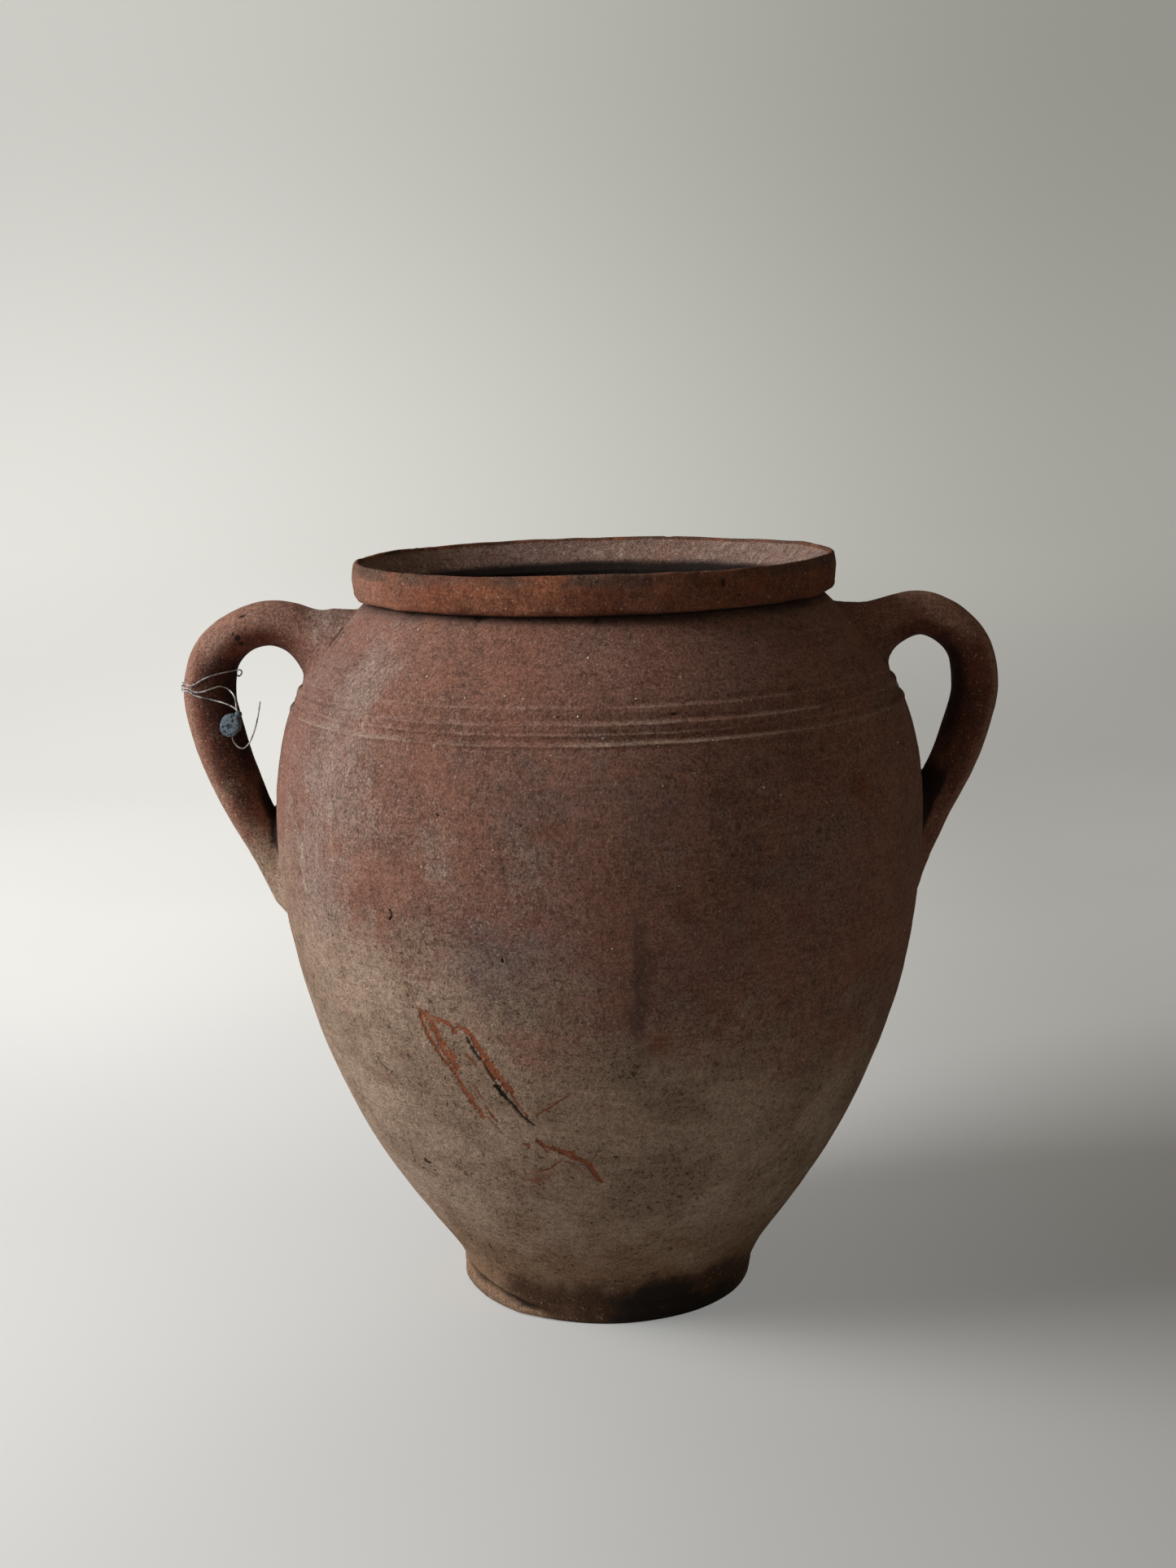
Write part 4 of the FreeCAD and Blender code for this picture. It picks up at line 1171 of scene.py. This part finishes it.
class Strap:
    # one handle's path and its oval sections

    def __init__(self, look):
        self.look = look
        side = look["side"]
        rows = np.array([(side * look["reach"] * out, 0.0, mix(look["low"], look["top"], rise),
                          look["thick"] / 2 * thick, look["width"] / 2 * width)
                         for out, rise, thick, width in look["rows"]])
        runs = np.linalg.norm(np.diff(rows[:, :3], axis=0), axis=1)
        self.along = np.concatenate([[0], np.cumsum(runs)])
        self.curve = naturalCurve(self.along, rows)
        self.length = self.along[-1]
        self.steps = np.linspace(0, self.length, 700)
        self.line = self.curve(self.steps)[:, :3]

    def frame(self, along):
        # the curve's row at a place along it, and the way out from the gap
        here = self.curve(along)
        step = 0.5 * mm
        way = self.curve(along + step)[..., :3] - self.curve(along - step)[..., :3]
        way /= np.linalg.norm(way, axis=-1)[..., None]
        out = np.stack([-way[..., 2], np.zeros(way.shape[:-1]), way[..., 0]], -1) * self.look["side"]
        return here, out

    def ray(self, along, angle):
        # a section's middle, the way out at an angle from the outermost side, and how far
        here, out = self.frame(along)
        across = np.array([0.0, -1.0, 0.0])
        halfThick, halfWidth = here[..., 3], here[..., 4]
        reachOut, reachAcross = np.cos(angle) * halfThick, np.sin(angle) * halfWidth
        spoke = out * reachOut[..., None] + across * reachAcross[..., None]
        length = np.linalg.norm(spoke, axis=-1)
        return here[..., :3], spoke / length[..., None], length

    def stand(self, points):
        # about how far points stand off the strap's face
        nearest = np.argmin(np.linalg.norm(points[:, None] - self.line, axis=2), axis=1)
        here, out = self.frame(self.steps[nearest])
        gap = points - here[:, :3]
        share = np.hypot(np.sum(gap * out, axis=1) / here[:, 3], gap[:, 1] / here[:, 4])
        return np.linalg.norm(gap, axis=1) * (1 - 1 / np.maximum(share, 1e-6))

    def seen(self, pixel, lift=0.0):
        # the place the camera sees at a pixel, a little way off the strap's face
        trail = pixelTrail(pixel, *strapLook["reach"])
        return trail[np.argmax(self.stand(trail) < lift)]

    def round(self, turn, height, lift):
        # a place off the outward run's face; turn 0 is outermost and 1 the front, in quarters
        top = int(np.argmax(self.line[:, 2]))
        along = np.interp(-height, -self.line[top:, 2], self.steps[top:])
        here, out = self.frame(along)
        angle = turn * math.pi / 2
        return (here[:3] + out * math.cos(angle) * (here[3] + lift)
                - np.array([0, 1, 0]) * math.sin(angle) * (here[4] + lift))


straps = {name: Strap(look) for name, look in handles.items()}


def nearStrap(pixel):
    return straps["left" if pixel[0] < cameraLook["middlePixel"][0] else "right"]


strapSpotPlaces = [(spot, nearStrap(spot["pixel"]).seen(spot["pixel"])) for spot in strapSpots]
placedPatches += [(kind, nearStrap((x, y)).seen((x, y)), size * mm, tint)
                  for kind, rows in strapPatches.items() for x, y, size, tint in rows]


def blendedReach(middle, way, length, angle):
    # where the strap's face ends, when it melts into the wall round its root
    outer = np.where(middle[:, 2] > 0.3, strapLook["topFillet"], strapLook["lowFillet"])
    soft = mix(strapLook["innerFillet"], outer, smoothRise(-0.9, 0.6, np.cos(angle)))
    reach = length.copy()
    found = np.zeros(len(length), bool)
    for extra in np.arange(0, 1.25 * strapLook["topFillet"], 0.2 * mm):
        test = length + extra
        off, _ = wallDepth(middle + way * test[:, None])
        gap = np.maximum(soft - np.abs(extra - off), 0) / soft
        joined = np.minimum(extra, off) - gap * gap * soft / 4
        hit = (joined >= 0) & ~found
        reach[hit] = test[hit]
        found |= hit
    reach[~found] = length[~found] + 1.25 * strapLook["topFillet"]
    return reach, found


def strapPoint(strap, along, angle, left):
    # left is how far a point is from the root's end, over which it sinks into the wall
    middle, way, length = strap.ray(along, angle)
    reach, found = blendedReach(middle, way, length, angle)
    points = middle + way * reach[:, None]
    lumps = noiseSum(points, strapLook["lumps"]) * smoothRise(0, 10 * mm, wallDepth(points)[0])
    points = points + way * lumps[:, None]
    off, away = wallDepth(points)
    inWall = (~found) | (off < 0.05 * mm)
    inWall &= points[:, 2] < neckHeight
    stand = np.where(inWall, -strapLook["sunk"], off)
    stay = smoothRise(0, strapLook["feather"], left)
    stand = stand * stay - strapLook["sunk"] * (1 - stay)
    points = points + away * (stand - off)[:, None]
    # near the wall the strap follows the wall's own unevenness
    near = 1 - smoothRise(1 * mm, strapLook["blendReach"], stand)
    return pushOut(points, wallWobble(points) * near), stand, near


def crackShare(points):
    # how much the crack at the left upper root marks each point, as the camera sees it
    across, rise, ahead = ((points - np.array(cameraLook["place"])) @ np.array(cameraTurn)).T
    scale = cameraLook["focalPixels"] / -ahead
    seen = np.stack([cameraLook["middlePixel"][0] + across * scale,
                     cameraLook["middlePixel"][1] - rise * scale], -1)
    size = mm / rootCrack["pixelsEachMm"]
    away = lineDistance(seen * size, np.array(rootCrack["pixels"]) * size)
    front = (points[:, 1] < 0) & (points[:, 2] > 0.3) & (points[:, 0] < 0)
    return front * (1 - smoothRise(0.4, 1.2, away / (rootCrack["width"] * mm)))


def strapGrid(strap, low, high, step, end):
    # a tube of rings between two places along the strap, mapped from a spun cylinder
    count = max(2, round(abs(high - low) / step))
    made = spinProfile([(1, i) for i in range(count + 1)], strapLook["around"], False, 0.001)
    rims = [e for e in made.edges if e.is_boundary]
    bmesh.ops.holes_fill(made, edges=rims, sides=0)
    bmesh.ops.recalc_face_normals(made, faces=made.faces)
    grid = places(made)
    angle = np.arctan2(grid[:, 1], grid[:, 0])
    along = low + (high - low) * grid[:, 2] / count
    left = np.full(len(along), 1.0) if end is None else np.abs(end - along)
    points, stand, near = strapPoint(strap, along, angle, left)
    sootAndShade, sootDepth = markStrength(points, [s for s in sootLines if s[0]["name"] == "rootCrack"])
    for spot, place in strapSpotPlaces:
        away = np.linalg.norm(points - place, axis=1) / (spot["size"] * mm)
        share = 1 - smoothRise(0.35, 1.1, away + 0.35 * noiseAt(points, 2.2 * mm, 43))
        sootAndShade = np.maximum(sootAndShade, share * spot["tint"])
        sootDepth = np.maximum(sootDepth, share * spot["depth"] * mm)
    crack = crackShare(points)
    sootAndShade, sootDepth = np.maximum(sootAndShade, crack), np.maximum(sootDepth, crack * rootCrack["depth"] * mm)
    _, way, _ = strap.ray(along, angle)
    movePlaces(made, points - way * sootDepth[:, None])
    bmesh.ops.recalc_face_normals(made, faces=made.faces)
    marks = patchLayers(points)
    marks.pop("stain")
    marks["nearWall"], marks["sootAndShade"] = near, sootAndShade
    outward, height = np.cos(angle), points[:, 2]
    arch = smoothRise(*strapLook["archHeights"], height)
    # paler clay on each handle's outermost side and on top of its arch: dust and wear, with painted
    # light where the light falls on them
    archLightingAndWear = 0.9 * arch * smoothRise(-0.7, 0.35, outward)
    marks["lightingAndWear"] = np.maximum(smoothRise(0.15, 0.95, outward), archLightingAndWear)
    # painted shade over each handle's front and inner side below the arch, stronger on the left handle
    front = 1 - smoothRise(-0.1, 0.65, outward)
    marks["paintedFrontShade"] = strap.look["frontShadeStrength"] * front * (1 - arch) * (1 - near)
    # painted shade: in the crease where the inner side meets the wall, over the inner side below the
    # arch, and along the slit between handle and wall
    crease = (1 - smoothRise(*strapLook["creaseReach"], stand)) * smoothRise(0.1, 0.6, -outward)
    crease *= 1 - smoothRise(*strapLook["creaseTop"], height)
    shade = 0.6 * smoothRise(0.2, 0.85, -outward) * (1 - arch) * (1 - near)
    shade *= smoothRise(*strapLook["shadeHeights"], height)
    slitShade = smoothRise(strap.look["slitShade"], strap.look["slitShade"] + 0.45, -outward)
    slitShade *= 1 - smoothRise(*strapLook["slitShadeTop"], height)
    slitShade *= smoothRise(*strapLook["slitShadeFoot"], height)
    marks["sootAndShade"] = np.maximum.reduce([sootAndShade, shade, slitShade, crease])
    return made, marks


def makeHandle(name):
    strap, look = straps[name], handles[name]
    upper, lower = strap.along[look["upperEnd"]], strap.along[look["lowerEnd"]]
    start, end = rootReach(strap, upper, -1), rootReach(strap, lower, 1)
    spans = ((name + "Handle", name + "_handle", upper, lower, strapLook["ringStep"], None),
             (name + "UpperRoot", name + "_upper_root", start, upper, strapLook["rootStep"], start),
             (name + "LowerRoot", name + "_lower_root", lower, end, strapLook["rootStep"], end))
    for title, node, low, high, step, tip in spans:
        made, marks = strapGrid(strap, low, high, step, tip)
        finishPiece(title, made, [node], "jar", handleFinish, marks, degrees=60)


def rootReach(strap, start, way):
    # how far along the strap all of its face has gone into the wall
    angles = np.linspace(0, math.tau, 24, endpoint=False)
    along = start
    while 0 < along + way * 1.0 * mm < strap.length:
        along += way * 1.0 * mm
        middle, spoke, length = strap.ray(np.full(24, along), angles)
        reach, found = blendedReach(middle, spoke, length, angles)
        off, _ = wallDepth(middle + spoke * reach[:, None])
        if np.all((off < 0.3 * mm) | ~found):
            break
    return along + way * 1.0 * mm


makeBelly()
makeShoulder()
makeCollar()
makeFoot()
makeFloor()
for handleName in handles:
    makeHandle(handleName)
makeGrains()
print("clay pieces made")

# the seal hangs by its bead from the end of the wire: the joint tells the bead's place
swing = next(joint for joint in frame["joints"] if joint["name"] == "seal_swing")
bead = np.array(swing["pos_m"])
sealSide = -np.array(swing["axis"])
metalLook = {
    "wire": paint(206, 204, 202), "wireDark": paint(112, 110, 110), "rust": paint(120, 78, 56),
    "lead": paint(92, 105, 117), "leadPale": paint(146, 158, 168), "leadDark": paint(40, 46, 54),
}


def wireSteel():
    made = Finish("sealWire")
    place = made.place()
    patch = made.cloud(place, 260, 4, 0.65)
    base = made.blend(patch.rise(0.42, 0.62), metalLook["wire"], metalLook["wireDark"])
    base = made.blend(made.cloud(place, 120, 3, 0.6).rise(0.6, 0.7) * 0.35, base, metalLook["rust"])
    bumps = (made.cloud(place, 2600, 2, 0.6) - 0.5) * (0.05 * mm)
    return made.wear(base, 0.35 + 0.3 * patch, bumps, Metallic=0.35)


def dullLead():
    made = Finish("sealLead")
    place = made.place()
    patch = made.cloud(place, 420, 5, 0.7)
    grain = made.cloud(place, 1700, 3, 0.7)
    base = made.blend(patch.rise(0.42, 0.6), metalLook["lead"], metalLook["leadDark"])
    base = made.blend((patch * 0.6 + grain * 0.5).rise(0.56, 0.66), base, metalLook["leadPale"])
    base = made.blend(made.attribute("pit") * 0.8, base, metalLook["leadDark"])
    bumps = (patch - 0.5) * (0.5 * mm) + (grain - 0.5) * (0.16 * mm)
    return made.wear(base, 0.5 + 0.3 * grain, bumps, Metallic=0.35)


steelFinish, leadFinish = wireSteel(), dullLead()

# the wire's way round the handle from the bead and back to it. Free points are a pixel and
# how far behind the axis they hang in mm, laid ones a pixel and how far off the handle's
# face, and round ones a turn, a height and the same.
wireLook = {
    "radius": 0.4 * mm,
    "route": (
        ("free", 290.6, 872.0, -19.6), ("free", 290.0, 865.0, -19.0), ("free", 289.2, 858.5, -18.4),
        ("free", 285.6, 851.4, -17.4), ("laid", 278.6, 845.4, 0.9), ("laid", 270.0, 843.0, 0.9),
        ("laid", 261.9, 845.6, 0.8), ("laid", 251.7, 849.6, 0.8), ("laid", 242.9, 851.6, 0.8),
        ("laid", 237.0, 850.0, 0.9), ("laid", 232.0, 846.2, 1.3), ("round", 0.2, 325.4, 1.5),
        ("round", -0.1, 326.0, 1.3), ("round", -0.5, 327.6, 0.9), ("round", -1.0, 330.2, 0.8),
        ("round", -1.5, 332.8, 0.8), ("round", -1.85, 334.2, 0.9), ("free", 292.8, 831.6, -3.0),
        ("free", 295.8, 830.0, -6.0), ("free", 297.6, 826.0, -8.5), ("free", 295.8, 823.2, -10.5),
        ("free", 292.4, 823.2, -12.0), ("laid", 287.6, 823.9, 0.8), ("laid", 276.6, 826.0, 0.8),
        ("laid", 264.9, 829.4, 0.8), ("laid", 253.1, 832.8, 0.8), ("laid", 244.3, 838.0, 0.8),
        ("laid", 237.4, 842.6, 1.0), ("laid", 232.0, 843.2, 1.6), ("round", 0.0, 327.6, 1.9),
        ("round", -0.25, 325.2, 1.7), ("round", 0.1, 323.8, 1.6), ("laid", 231.6, 849.4, 1.6),
        ("laid", 238.5, 854.6, 0.8), ("laid", 248.7, 857.6, 0.8), ("laid", 261.9, 860.4, 0.8),
        ("free", 276.6, 864.2, -17.6), ("free", 285.4, 868.4, -18.6), ("free", 291.0, 872.4, -19.4),
    ),
    "tail": ((284.6, 899.0), (285.4, 908.5), (289.6, 915.4), (294.8, 919.6), (300.4, 919.8),
             (306.0, 914.6), (311.0, 903.6), (314.8, 891.1), (317.5, 878.0), (319.6, 862.0)),
    "tailDepth": -19.5 * mm,
}


def atDepth(pixel, depth):
    # the place the camera sees at a pixel, this far behind the jar's axis: less than 0 is in front
    start, way = np.array(cameraLook["place"]), np.array(pixelRay(pixel))
    return start + way * (depth - start[1]) / way[1]


def wirePlace(kind, first, second, third):
    if kind == "free":
        return atDepth((first, second), third * mm)
    if kind == "laid":
        return straps["left"].seen((first, second), third * mm)
    return straps["left"].round(first, second * mm, third * mm)


def makeWire(name, points, nodes, body):
    # a drawn wire along a smooth line through its points
    curve = bpy.data.curves.new(name + "Line", "CURVE")
    curve.dimensions = "3D"
    line = curve.splines.new("NURBS")
    line.points.add(len(points) - 1)
    for spot, place in zip(line.points, points):
        spot.co = (*place, 1)
    line.order_u = 3
    line.use_endpoint_u = True
    line.resolution_u = 5
    curve.bevel_depth = wireLook["radius"]
    curve.bevel_resolution = 3
    curve.use_fill_caps = True
    path = bpy.data.objects.new(name + "Path", curve)
    bpy.context.collection.objects.link(path)
    mesh = bpy.data.meshes.new_from_object(path)
    bpy.data.objects.remove(path)
    made = bmesh.new()
    made.from_mesh(mesh)
    bpy.data.meshes.remove(mesh)
    bmesh.ops.remove_doubles(made, verts=made.verts, dist=0.005 * mm)
    bmesh.ops.recalc_face_normals(made, faces=made.faces)
    finishPiece(name, made, nodes, body, steelFinish)


# the pressed lead: half sizes of the oval, how square its edge is, and how it hangs
sealLook = {
    "half": (5.6 * mm, 6.3 * mm, 2.1 * mm), "square": 4.2, "turnDegrees": 21, "leanDegrees": 38,
    "drop": 7.14 * mm, "forward": 0.6 * mm, "beadRadius": 1.9 * mm, "neckRadius": 1.5 * mm,
    "neckDrop": 1.9 * mm, "edgeUneven": 0.05, "edgeSize": 4 * mm,
    "beadUneven": 0.12, "beadSize": 1.1 * mm, "dent": 0.45 * mm, "dentSize": 2.2 * mm,
    "grain": 0.16 * mm, "grainSize": 0.8 * mm,
}


def makeSeal():
    look = sealLook
    lean, turn = math.radians(look["leanDegrees"]), math.radians(look["turnDegrees"])
    lug = sealSide * math.sin(lean) + np.array([0, 0, 1]) * math.cos(lean)
    face = np.array([-math.sin(turn), -math.cos(turn), 0])
    centre = bead - lug * look["drop"] + face * look["forward"]
    across = np.cross(lug, face)
    across /= np.linalg.norm(across)
    face = np.cross(across, lug)
    made = bmesh.new()
    bmesh.ops.create_icosphere(made, subdivisions=6, radius=1)
    ball = places(made)
    flat = np.hypot(ball[:, 0], ball[:, 1])
    reach = (flat ** look["square"] + np.abs(ball[:, 2]) ** look["square"]) ** (-1 / look["square"])
    disc = ball * reach[:, None] * np.array(look["half"])
    dents = noiseAt(disc, look["dentSize"], 61)
    pit = smoothRise(0.05, 0.45, dents)
    sink = look["dent"] * pit + look["grain"] * noiseAt(disc, look["grainSize"], 62)
    disc -= ball * sink[:, None]
    disc[:, :2] *= (1 + look["edgeUneven"] * noiseAt(disc, look["edgeSize"], 63))[:, None]
    movePlaces(made, disc @ np.array([across, lug, face]) + centre)
    count = len(made.verts)
    neck = bead - lug * look["neckDrop"]
    for place, radius in ((bead, look["beadRadius"]), (neck, look["neckRadius"])):
        bmesh.ops.create_icosphere(made, subdivisions=3, radius=radius,
                                   matrix=Matrix.Translation(Vector(place)))
    points = places(made)
    dents = look["beadUneven"] * noiseAt(points[count:], look["beadSize"], 64)
    points[count:] += (points[count:] - bead) * dents[:, None]
    movePlaces(made, points)
    pits = np.concatenate([pit, np.full(len(points) - count, 0.25)])
    finishPiece("leadSeal", made, ["lead_seal"], "seal", leadFinish, {"pit": pits})


wireEnd = bead + np.array([0.3, 0, 0.3]) * mm
wireLine = [bead, *(wirePlace(*row) for row in wireLook["route"]), wireEnd]
makeWire("sealWire", wireLine, ["seal_wire_winding"], "winding")
makeSeal()
makeWire("sealWireTail", [atDepth(pixel, wireLook["tailDepth"]) for pixel in wireLook["tail"]],
         ["seal_wire_tail"], "seal")
print("wire and seal made")

# floor, backdrop and light
stageLook = {
    "width": 5.0, "near": -2.6, "far": 1.5, "bend": 0.7, "top": 2.6,
    "floor": paint(200, 200, 197), "wall": paint(110, 109, 105),
    "nearGlow": ((-0.45, paint(160, 161, 160)), (0.45, paint(82, 83, 82))),
    "farGlow": ((-0.45, paint(203, 202, 198)), (0.45, paint(130, 130, 126))),
    "lowGlow": ((-0.9, paint(219, 218, 212)), (0.9, paint(152, 152, 145))),
    "highGlow": ((-0.9, paint(193, 192, 186)), (0.9, paint(136, 136, 129))),
    "key": {"place": (-1.75, -0.36, 1.2), "size": 1.1, "power": 41.0, "colour": (0.99, 0.99, 1.0)},
    "floorFade": (-0.1, 0.25), "depthFade": (-0.1, 0.9), "lowFade": (0, 0.24), "highFade": (0.24, 0.95),
    "world": (1.0, 0.83, 0.64, 1), "worldStrength": 0.125,
}


def makeStage():
    look = stageLook
    made = bmesh.new()
    arc = [(look["far"] + look["bend"] * math.sin(a), look["bend"] - look["bend"] * math.cos(a))
           for a in (math.pi / 2 * i / 16 for i in range(17))]
    line = [(look["near"], 0), *arc, (look["far"] + look["bend"], look["top"])]
    verts = [made.verts.new((-look["width"] / 2, y, z)) for y, z in line]
    edges = [made.edges.new(pair) for pair in zip(verts, verts[1:])]
    grown = bmesh.ops.extrude_edge_only(made, edges=edges)["geom"]
    side = [v for v in grown if isinstance(v, bmesh.types.BMVert)]
    bmesh.ops.translate(made, verts=side, vec=(look["width"], 0, 0))
    bmesh.ops.recalc_face_normals(made, faces=made.faces)
    for face in made.faces:
        face.smooth = True
    mesh = bpy.data.meshes.new("sweep")
    made.to_mesh(mesh)
    made.free()
    sweep = bpy.data.objects.new("sweep", mesh)
    bpy.context.collection.objects.link(sweep)
    finish = Finish("sweepPaint")
    place = finish.place()
    east, depth, height = (finish.axis(place, name) for name in "XYZ")
    uneven = (finish.cloud(place, 1.3, 2, 0.5) - 0.5) * 0.2
    colour = finish.blend((height + uneven).rise(*look["floorFade"]), look["floor"], look["wall"])
    glows = [finish.blend(east.rise(left, right), first, second) for (left, first), (right, second)
             in (look["nearGlow"], look["farGlow"], look["lowGlow"], look["highGlow"])]
    glow = finish.blend(depth.rise(*look["depthFade"]), glows[0], glows[1])
    glow = finish.blend(height.rise(*look["lowFade"]), glow, glows[2])
    glow = finish.blend(height.rise(*look["highFade"]), glow, glows[3])
    seen = finish.node("LightPath", output="Is Camera Ray")
    seen = seen.most(finish.node("LightPath", output="Is Glossy Ray"))
    seen = seen.most(finish.node("LightPath", output="Is Transmission Ray"))
    glow = finish.blend(seen, (0, 0, 0, 1), glow)
    finish.tree.links.new(glow.socket, finish.shader.inputs["Emission Color"])
    mesh.materials.append(finish.wear(colour, Roughness=0.85, Emission_Strength=1.0))


def makeLight(name, look):
    lamp = bpy.data.lights.new(name, "AREA")
    lamp.size = look["size"]
    lamp.energy = look["power"]
    lamp.color = look["colour"]
    light = bpy.data.objects.new(name, lamp)
    aim = Vector((0, 0, 0.2)) - Vector(look["place"])
    light.location = look["place"]
    light.rotation_euler = aim.to_track_quat("-Z", "Y").to_euler()
    bpy.context.collection.objects.link(light)


makeStage()
makeLight("key", stageLook["key"])
world = bpy.data.worlds.new("room")
world.use_nodes = True
backlight = world.node_tree.nodes["Background"].inputs
backlight["Color"].default_value = stageLook["world"]
backlight["Strength"].default_value = stageLook["worldStrength"]
bpy.context.scene.world = world
bpy.context.scene.view_settings.view_transform = "Standard"
print("stage and light made")
